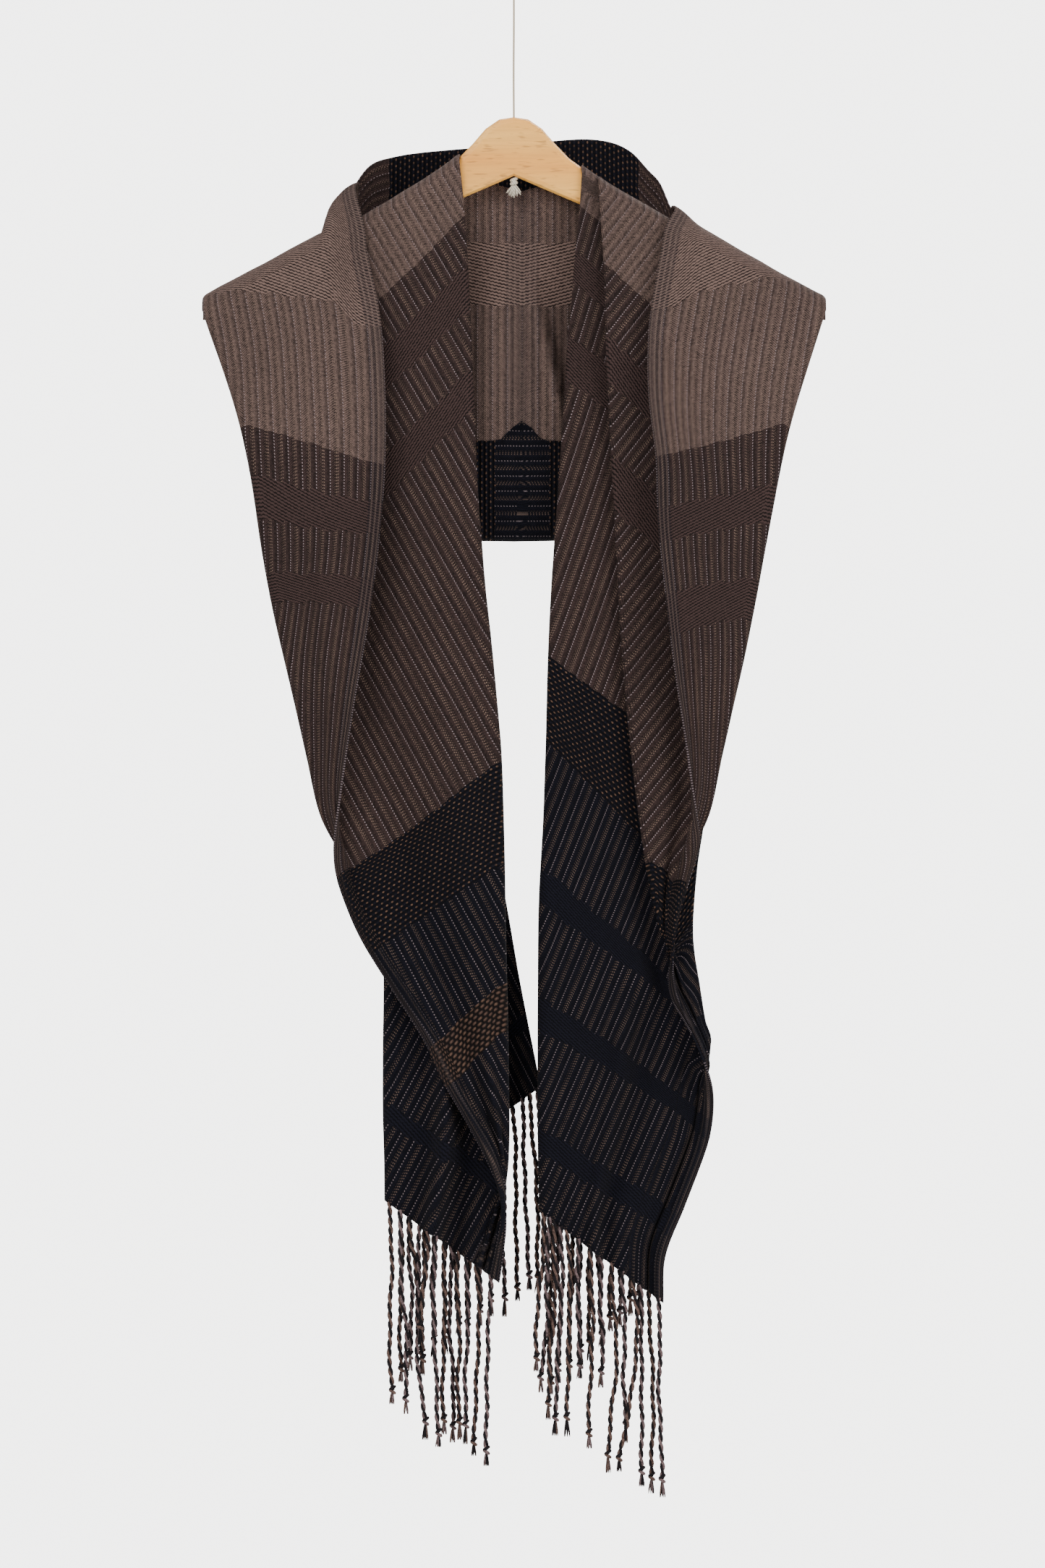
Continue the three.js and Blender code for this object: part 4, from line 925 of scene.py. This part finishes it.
# %% The hood's shape
# place across and drop, in mm: the bottom of the bag, and the rim that stands up behind
HOOD_BOTTOM = [(0, 292.5), (40, 291), (78, 283), (100, 262), (119, 228)]
RIM = [
    (-119, 78), (-113, 50), (-106, 36), (-98, 28), (-86, 24), (-70, 21), (-40, 18), (0, 15), (45, 11),
    (67, 13), (82, 20), (94, 33), (102, 42), (108, 56), (119, 82),
]
HOOD_HALF_WIDTH = 119
HOOD_FRONT_Y, HOOD_BACK_Y = 12, 58
NAPE_HALF_WIDTH, NAPE_DROP = 40, 50
SEAM_X = 6  # the seam doesn't hang quite in the middle
CROWN_DROP = 214  # below this the doubled crown shows


def step(low, high, x):
    """smooth() of a single number."""
    return float(smooth(low, high, x))


def hood_point(share, v):
    """A point of the hood, in mm.

    share runs from the mouth to the bottom, v round from the seam to the seam.
    """
    turned = 0.5 - abs(v - 0.5)
    reach = min(turned, 0.5 - turned) / 0.25
    x = (-1 if v < 0.5 else 1) * HOOD_HALF_WIDTH * math.sin(math.pi / 2 * reach**0.85)
    side = 1 if turned > 0.25 else -1
    if side < 0:
        nape = max(0.0, 1 - abs(x) / NAPE_HALF_WIDTH)
        top = (1 - nape) * (float(ridge(max(abs(x), NAPE_HALF_WIDTH))) + 13.3) + nape * NAPE_DROP
    else:
        top = float(curve(RIM, 1, x))
    bottom = float(curve(HOOD_BOTTOM, 1, abs(x)))
    depth = math.sqrt(max(0.0, 1 - share**3)) * math.sqrt(max(0.0, 1 - (abs(x) / HOOD_HALF_WIDTH) ** 4))
    y = (HOOD_FRONT_Y + HOOD_BACK_Y) / 2 + side * (HOOD_BACK_Y - HOOD_FRONT_Y) / 2 * depth
    return x, y, top + (bottom - top) * share


# %% [markdown]
# ## The hood's folds
# The outer layer ends in an upside-down V over the doubled crown. The front has one long slanting fold
# beside the seam, where the bag's weight pulls, and the back a few shallow ones. Waves and steps of a few
# millimetres give them, because they must stay where they are, and a simulation would lay them anew.

# %% The hood's folds
def crown_line(x):
    """How far down the front the outer layer ends, over the doubled crown."""
    return CROWN_DROP - 5 + 14 * step(0, 1, abs(x - SEAM_X) / 17) + 60 * step(0, 1, (abs(x) - 45) / 60)


def front_relief(x, drop, bottom):
    """Small folds of the hood's front, in mm towards the viewer."""
    from_seam = abs(x - SEAM_X)
    height = 1.2 * math.exp(-(((from_seam - 6) / 4) ** 2)) - 2.2 * math.exp(-((from_seam / 2.2) ** 2))
    fold_x = 17.5 + (drop - 134) * 0.25
    fold = step(95, 165, drop) * step(225, 190, drop)
    height -= 15 * fold * step(0, 4, x - fold_x) * step(0, 1, (70 - x) / 30)
    height += 7 * fold * math.exp(-(((x - fold_x + 5) / 6) ** 2))
    height += 2.5 * math.sin(x / 9 + drop / 60) * step(50, 90, drop)
    height -= 3.0 * step(0, 1, (drop - crown_line(x)) / 1.5)
    return height * step(0, 30, bottom - drop)


def back_relief(x, drop, below_rim, bottom):
    """Shallow folds of the hood's back, in mm away from the hanger."""
    waves = 3.6 * math.sin(x / 17 + 0.8 + drop / 150) + 2.2 * math.sin(x / 8.3 - drop / 90)
    return waves * step(0, 60, below_rim) * step(0, 50, bottom - drop)


# %% A grid of the hood
def is_front(v):
    return abs(v - 0.5) > 0.25


HOOD_ROWS, HOOD_COLUMNS = 120, 176
CROWN_ROW = 82  # on the front, this row runs along the end of the outer layer


def hood_grid():
    """Points, and places on the strip as the light outer layer or as the dark inside and crown."""
    points = np.zeros((HOOD_ROWS + 1, HOOD_COLUMNS + 1, 3))
    light, dark = np.zeros((2, HOOD_ROWS + 1, HOOD_COLUMNS + 1, 2))
    for c in range(HOOD_COLUMNS + 1):
        v = c / HOOD_COLUMNS
        x0, _, top = hood_point(0, v)
        bottom = hood_point(1, v)[2]
        lean, crown = 0, 0.95
        if is_front(v):
            lean = SEAM_X * (1 - abs(x0) / HOOD_HALF_WIDTH) * 0.97
            crown = min((crown_line(x0 + lean) - top) / (bottom - top), crown)
        for r in range(HOOD_ROWS + 1):
            share = float(np.interp(r, (0, CROWN_ROW, HOOD_ROWS), (0, crown, 1)))
            x, y, drop = hood_point(share, v)
            x += lean * (1 - share**6)
            light[r, c] = (abs(x - SEAM_X), drop - CROWN_DROP)
            if is_front(v):
                y -= front_relief(x, drop, bottom) if r < HOOD_ROWS else 0
                dark[r, c] = (320 - drop, 219 - abs(x - SEAM_X))
            else:
                below_rim = drop - float(curve(RIM, 1, x))
                dark[r, c] = (below_rim, 87 - abs(x))
                y += back_relief(x, drop, below_rim, bottom)
            points[r, c] = (x, y, HANGER_TOP_Z - drop)
    return points * MM, light * MM, dark * MM


# %% Its two weaves
hood_light = weave("hood_weave_light", brown_from=900, black_from=900, plain=[(-127.5, -84)], selvedge=0.26)
hood_dark = weave("hood_weave_dark", brown_from=-900, black_from=0, check=[(0, 200)], selvedge=0, warp=0.8)

# %% [markdown]
# ## The hood as a closed piece
# The grid becomes two skins, one thickness apart, joined along the mouth. Each face is given the light or
# the dark weave, and each corner the place on the strip that fits that weave, because two layers of the
# strip meet there.

# %% Skins and faces
def hood_skins(points):
    """The outer and the inner skin, in metres."""
    rows, columns = points.shape[:2]
    points[:, -1] = points[:, 0]
    for c in range(columns // 4):  # the last loop lies flat in the bottom
        points[-1, columns // 2 - c] = points[-1, c]
        points[-1, columns // 2 + c] = points[-1, columns - 1 - c]
    normals = surface_normals(points)
    normals[:, 0] = normals[:, -1] = (normals[:, 0] + normals[:, -1]) / 2
    fade = np.linspace(1, 0, rows)[:, None] ** 0.5
    outer = points + normals * (swells(points, 0.0009, 5.7) * fade)[..., None]
    outer[:, -1] = outer[:, 0]
    inwards = -1 if normals[10, 4, 1] < 0 else 1
    inner = outer + inwards * normals * CLOTH * MM
    inner[-1] = outer[-1] + (0, 0, CLOTH * MM)
    return outer, inner


def hood_faces(rows, columns):
    """Faces of both skins and of the rim between them, and for each 0 for light or 1 for dark."""
    count, faces, looks = rows * columns, [], []
    front = [is_front((c + 0.5) / (columns - 1)) for c in range(columns - 1)]
    for r in range(rows - 1):
        for c in range(columns - 1):
            a, b = r * columns + c, r * columns + (c + 1) % (columns - 1)
            d, e = a + columns, b + columns
            faces += [(a, b, e, d), (count + a, count + d, count + e, count + b)]
            looks += [0 if front[c] and r < CROWN_ROW else 1] * 2
    for c in range(columns - 1):
        a, b = c, (c + 1) % (columns - 1)
        faces.append((a, count + a, count + b, b))
        looks.append(0 if front[c] else 1)
    return faces, looks


def close_bottom(mesh, rows, columns):
    """Joins the two halves of each skin's last loop."""
    shape = bmesh.new()
    shape.from_mesh(mesh)
    shape.verts.ensure_lookup_table()
    ends = (rows * columns, 2 * rows * columns)
    for bottom in [[shape.verts[end - columns + c] for c in range(columns - 1)] for end in ends]:
        bmesh.ops.remove_doubles(shape, verts=bottom, dist=0.05 * MM)
    print("hood edges that are open:", sum(1 for e in shape.edges if not e.is_manifold))
    shape.to_mesh(mesh)
    shape.free()


# %% Make the hood
def make_hood():
    points, light, dark = hood_grid()
    rows, columns = points.shape[:2]
    vertices = np.concatenate([skin.reshape(-1, 3) for skin in hood_skins(points)])
    faces, looks = hood_faces(rows, columns)
    mesh = bpy.data.meshes.new("hood")
    mesh.from_pydata(vertices.tolist(), [], faces)
    mesh.materials.append(hood_light)
    mesh.materials.append(hood_dark)
    corner = np.empty(len(mesh.loops), int)
    mesh.loops.foreach_get("vertex_index", corner)
    corner %= rows * columns
    is_light = np.repeat(np.array(looks) == 0, 4)[:, None]
    place = np.where(is_light, light.reshape(-1, 2)[corner], dark.reshape(-1, 2)[corner])
    mesh.uv_layers.new(name="strip").data.foreach_set("uv", place.astype(np.float32).ravel())
    mesh.polygons.foreach_set("material_index", looks)
    close_bottom(mesh, rows, columns)
    mesh.polygons.foreach_set("use_smooth", [True] * len(mesh.polygons))
    piece = put("hood_bag", mesh)
    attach(piece, "root")
    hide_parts("hood")
    print("hood faces", len(mesh.polygons))
    return piece


hood = make_hood()

# %% [markdown]
# ## The fringe
# Below each hem the warp threads are twisted in pairs to strands, dark with brown, and knotted near their
# ends. Each row gives a strand's place on the hem, where it passes at mid length, where it ends and how far
# down.

# %% Yarn tubes
class Bundle:
    """Many thin tubes in one mesh."""

    def __init__(self):
        self.points, self.faces, self.looks = [], [], []

    def tube(self, line, radii, sides, look):
        start = len(self.points)
        for i, p in enumerate(line):
            way = (line[min(i + 1, len(line) - 1)] - line[max(i - 1, 0)]).normalized()
            side = Vector((0, 1, 0)).cross(way).normalized()
            other = way.cross(side)
            for k in range(sides):
                angle = 2 * math.pi * k / sides
                self.points.append(p + (side * math.cos(angle) + other * math.sin(angle)) * radii[i])
        for i in range(len(line) - 1):
            for k in range(sides):
                a, b = start + i * sides + k, start + i * sides + (k + 1) % sides
                self.faces.append((a, b, b + sides, a + sides))
        last = start + (len(line) - 1) * sides
        self.faces.append(tuple(range(start + sides - 1, start - 1, -1)))
        self.faces.append(tuple(range(last, last + sides)))
        self.looks += [look] * (len(self.faces) - len(self.looks))

    def finish(self, name, materials):
        mesh = bpy.data.meshes.new(name)
        mesh.from_pydata([tuple(p) for p in self.points], [], self.faces)
        for material in materials:
            mesh.materials.append(material)
        mesh.polygons.foreach_set("material_index", self.looks)
        mesh.polygons.foreach_set("use_smooth", [True] * len(mesh.polygons))
        return put(name, mesh)


def ring(centre, radius, lift, tilt, steps):
    """A round of points, in metres, about a centre in mm: lifted above it, and tilted up on one side."""
    angles = [2 * math.pi * k / steps for k in range(steps + 1)]
    around = [(radius * math.cos(a), radius * math.sin(a), lift + tilt * math.cos(a)) for a in angles]
    return [(centre + Vector(offset)) * MM for offset in around]


# %% [markdown]
# ## Yarn
# Three yarns are twisted into the fringe: one nearly black, one brown, one mauve. Up close a yarn is a fuzz
# of fibres that catch the light unevenly, so each one is two shades mixed by fine noise, with the same
# noise as bump.

# %% Yarn
def yarn_material(name, dark, light):
    material, shader = start_material(name, 0.92, sheen=0.03, sheen_tint=WOOL_SHEEN)
    grain = noise_field(900, 3.0)
    Field.tree.links.new(blend(dark, light, (grain * 2.4 - 0.7).clip()), shader.inputs["Base Color"])
    add_relief(shader, grain, 0.0003)
    return material


dark_yarn = yarn_material("dark_yarn", linear(8, 8, 12), linear(34, 29, 32))
brown_yarn = yarn_material("brown_yarn", linear(48, 35, 33), linear(112, 90, 82))
mauve_yarn = yarn_material("mauve_yarn", linear(54, 44, 48), linear(126, 106, 106))

# %% Where the strands hang
# place on the hem, half-way down and at the end, in mm across; length; how far back the end lies
LEFT_FRONT_STRANDS = [
    (-86, -85, -84.5, 143, -1), (-79, -76, -73.5, 144, 1), (-72, -67, -62, 108, 0),
    (-65, -66.5, -58.5, 150, -3), (-59.5, -61, -65.5, 72, 4), (-54, -54, -53, 150, 1),
    (-48.5, -49, -47.5, 136, -2), (-43.5, -43.5, -42, 138, 2), (-38.5, -38.5, -37, 130, -1),
    (-33, -32.5, -33.5, 128, 2), (-26.5, -24.5, -28.5, 136, -2), (-16, -17.5, -20.5, 134, 0),
]
LEFT_BACK_STRANDS = [
    (-80, -78, -79, 138, 11), (-72, -72, -71, 135, 13), (-64, -63, -64, 140, 11), (-56, -56, -55, 136, 13),
    (-48, -47, -48, 139, 12), (-40, -41, -39, 134, 13), (-32, -31, -32, 141, 11), (-24, -25, -23, 138, 13),
    (-16, -15, -16, 136, 12), (-8, -7, -6, 142, 12), (-1, 2, 3, 140, 11), (6, 9, 10, 136, 13),
    (11, 15, 17, 141, 12), (16, 20, 23, 139, 11),
]
RIGHT_FRONT_STRANDS = [
    (20.5, 18, 14.5, 110, 0), (24.5, 22.5, 18.5, 122, 2), (28.5, 27, 23, 138, -2), (32.5, 32, 28, 146, 1),
    (36.5, 39, 36, 142, -2), (44.5, 45, 44, 96, 2), (53, 53.5, 52, 141, -1), (60, 61, 60, 88, 2),
    (67.5, 70, 63.5, 146, -2), (75, 76.5, 78, 116, 3), (82, 83.5, 69.5, 136, -6), (88, 89.5, 87, 142, 0),
    (93.5, 95.5, 95.5, 143, 1), (100, 101.5, 101, 138, -1),
]
RIGHT_BACK_STRANDS = [
    (25, 26, 25, 138, 8), (32, 31, 32, 136, 6), (39, 40, 38, 141, 8), (46, 46, 47, 137, 6),
    (53, 53, 53, 139, 8), (60, 59, 60, 140, 6), (67, 68, 67, 135, 8), (74, 73, 74, 139, 6),
    (81, 82, 81, 137, 8), (88, 88, 87, 141, 6),
]


# %% [markdown]
# ## One strand
# A strand leaves the hem straight down, sways a little, and ends in a knot. It is two plies wound round
# each other, modelled as two thin tubes, because from close by a painted twist looks flat. Two tilted rings
# make the knot, and seven short hairs below it are the frayed ends.

# %% One strand
PLY, TWIST = 0.98, 13.0  # mm: the radius of a ply, and the length of one full twist
KNOT_RADIUS, KNOT_YARN, HAIR = 1.7, 1.1, 0.55


def hem_point(hem, x):
    """The point of a hem at a place across."""
    order = np.argsort(hem[:, 0])
    depth, height = (np.interp(x, hem[order, 0], hem[order, column]) for column in (1, 2))
    return Vector((x, depth, height))


def strand_line(hem, row, number, steps=96):
    """A strand's middle line, in mm."""
    place, mid, end, length, back = row
    root = hem_point(hem, place)
    line = []
    for i in range(steps + 1):
        s = i / steps
        x = (1 - s) * (1 - 2 * s) * root.x + 4 * s * (1 - s) * mid + s * (2 * s - 1) * end
        sway = 1.1 * math.sin((7 + 3 * math.sin(number)) * s + 2 * number) + 0.5 * math.sin(23 * s + number)
        y = root.y + back * math.sin(math.pi / 2 * s) + 1.1 * math.sin(2.2 * number + 6 * s) * s
        line.append(Vector((x + sway * min(1, 4 * s), y, root.z + 1.2 - s * length)))
    return line


def add_strand(bundle, line, number):
    """Two plies wound round each other, a knot and a frayed tuft."""
    looks = (0, 1 + number % 2)  # the dark ply, and a brown or a mauve one
    knot_at = int(len(line) * 0.9)
    knot = line[knot_at]
    for side, look in enumerate(looks):
        path = []
        for p in line[: knot_at + 1]:
            turn = 2 * math.pi * (line[0].z - p.z) / TWIST + math.pi * side + number * 1.7
            path.append((p + Vector((math.cos(turn), math.sin(turn), 0)) * PLY * 0.92) * MM)
        bundle.tube(path, [PLY * MM] * len(path), 6, look)
    for tilt, look in zip((-0.5, 0.5), reversed(looks)):
        loop = ring(knot, KNOT_RADIUS, tilt * 2.4, tilt * 2.2, 14)
        bundle.tube(loop, [KNOT_YARN * MM] * len(loop), 6, look)
    for k in range(7):
        angle = 2.4 * k + number
        spread = 1.2 + 1.1 * ((k * 7 + number * 3) % 5) / 4
        length = 9 + (k * 5 + number) % 5
        hair = []
        for s in (0, 0.25, 0.5, 0.75, 1):
            out = spread * s**0.7
            offset = (out * math.cos(angle), out * math.sin(angle), -1 - s * length)
            hair.append((knot + Vector(offset)) * MM)
        bundle.tube(hair, [HAIR * MM] * 4 + [0.2 * MM], 4, k % 3)


# %% Make the fringes
def make_fringe(name, hem, rows, node):
    bundle = Bundle()
    for number, row in enumerate(rows):
        add_strand(bundle, strand_line(hem, row, number), number)
    piece = bundle.finish(name, [dark_yarn, brown_yarn, mauve_yarn])
    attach(piece, "root")
    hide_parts(node)
    print(name, "strands", len(rows), "faces", len(piece.data.polygons))
    return piece


def hem_of(points):
    """The front and the back stretch of a hem, in mm. It turns where it reaches furthest to the left."""
    hem = points[-1] / MM
    turn = int(np.argmin(hem[:, 0]))
    return hem[:turn], hem[turn:]


left_front_hem, left_back_hem = hem_of(left_points)
right_front_hem, right_back_hem = hem_of(right_points)
left_front = make_fringe("left_front_strands", left_front_hem, LEFT_FRONT_STRANDS, "left_front_fringe")
left_back = make_fringe("left_back_strands", left_back_hem, LEFT_BACK_STRANDS, "left_back_fringe")
right_front = make_fringe("right_front_strands", right_front_hem, RIGHT_FRONT_STRANDS, "right_front_fringe")
right_back = make_fringe("right_back_strands", right_back_hem, RIGHT_BACK_STRANDS, "right_back_fringe")

# %% [markdown]
# ## The string
# A thin jute string goes up from the hanger to a loop, which sits on a nail. Below the hanger it is stopped
# with a knot of soft cotton cord, whose ends are combed out to a small tuft. The string is a curve of two
# plies' thickness under tension, so it is straight but for the slight unevenness of hand-spun fibre.

# %% String and loop
def fibre_material(name, dark, light, pitch):
    """Twisted fibre: slanting bands at a pitch along the string, in mm, over fine noise."""
    material, shader = start_material(name, 0.9, sheen=0.1)
    place = Field.tree.nodes.new("ShaderNodeTexCoord")
    split = Field.tree.nodes.new("ShaderNodeSeparateXYZ")
    Field.tree.links.new(place.outputs["Object"], split.inputs[0])
    turn = (Field(split.outputs[2]) + Field(split.outputs[0]) * 1.4) * (1000 / pitch)
    grain = noise_field(2600, 2.0)
    height = turn.wave() * 0.6 + grain * 0.5
    Field.tree.links.new(blend(dark, light, (height * 1.1 - 0.1).clip()), shader.inputs["Base Color"])
    add_relief(shader, height, 0.0003)
    return material


jute = fibre_material("jute", linear(150, 130, 104), linear(214, 200, 176), 1.7)
STRING_RADIUS = 0.7
STRING_BOTTOM, KNOT_Z = -151.6, -16.7


def make_string(points=24):
    data = bpy.data.curves.new("string", "CURVE")
    data.dimensions = "3D"
    data.bevel_depth = STRING_RADIUS * MM
    data.bevel_resolution = 3
    data.use_fill_caps = True
    spline = data.splines.new("POLY")
    spline.points.add(points - 1)
    for i, point in enumerate(spline.points):
        s = i / (points - 1)
        sway = 0.12 * math.sin(math.pi * s)
        x, y = sway * math.sin(9 * s), sway * math.cos(7 * s)
        point.co = (x * MM, y * MM, (STRING_BOTTOM + (KNOT_Z - STRING_BOTTOM) * s) * MM, 1)
    data.materials.append(jute)
    return put("hanging_string", data)


def make_loop():
    """The loop at the top and the knot that closes it."""
    bundle = Bundle()
    line = []
    for k in range(41):
        angle = math.pi * 2 * k / 40 - math.pi / 2
        height = 8 * math.sin(angle) - 8.7
        line.append(Vector((4.4 * math.cos(angle), 0.5 * math.sin(angle), height)) * MM)
    bundle.tube(line, [STRING_RADIUS * MM] * len(line), 8, 0)
    for lift, tilt in ((-0.9, 0.5), (0.7, -0.5)):
        turn = ring(Vector((0, 0, KNOT_Z)), 1.15, lift, tilt, 18)
        bundle.tube(turn, [STRING_RADIUS * MM] * len(turn), 8, 0)
    return bundle.finish("string_loop", [jute])


string, loop = make_string(), make_loop()
for piece in (string, loop):
    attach(piece, "root")
    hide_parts("string")
print("string:", round(KNOT_Z - STRING_BOTTOM), "mm to the knot of the loop")

# %% [markdown]
# ## The tuft below the hanger
# The stop knot is soft cotton cord, three turns thick, so that it can't slip through the hole. Its ends are
# combed out to a flat tuft, modelled hair by hair like the frayed ends of the fringe, because it is seen
# against the cloth.

# %% The tuft
cotton = fibre_material("cotton_cord", linear(168, 156, 136), linear(226, 218, 202), 2.4)
STOP_KNOT_Z = -155.1
CORD_RADIUS, TUFT_HAIRS = 1.15, 26


def make_tuft():
    bundle = Bundle()
    for tilt, lift in ((0.7, 1.1), (-0.8, -0.2), (0.4, -1.5)):
        turn = ring(Vector((0, 0, STOP_KNOT_Z)), 1.75, lift, tilt, 22)
        bundle.tube(turn, [CORD_RADIUS * MM] * len(turn), 8, 0)
    for k in range(TUFT_HAIRS):
        aside = (k / (TUFT_HAIRS - 1)) * 2 - 1
        length = 11 - 2.6 * abs(aside) + 0.9 * math.sin(5 * k)
        depth = 1.3 * math.sin(2.4 * k)
        line = []
        for s in (0, 0.2, 0.4, 0.6, 0.8, 1):
            x = 5.2 * aside * s + 0.3 * math.sin(4 * s + k)
            line.append(Vector((x, depth * s, STOP_KNOT_Z - 1.5 - (length - 1.5) * s)) * MM)
        bundle.tube(line, [0.5 * MM] * 4 + [0.4 * MM, 0.18 * MM], 5, 0)
    return bundle.finish("cotton_tuft", [cotton])


tuft = make_tuft()
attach(tuft, "root")
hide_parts("string_end")
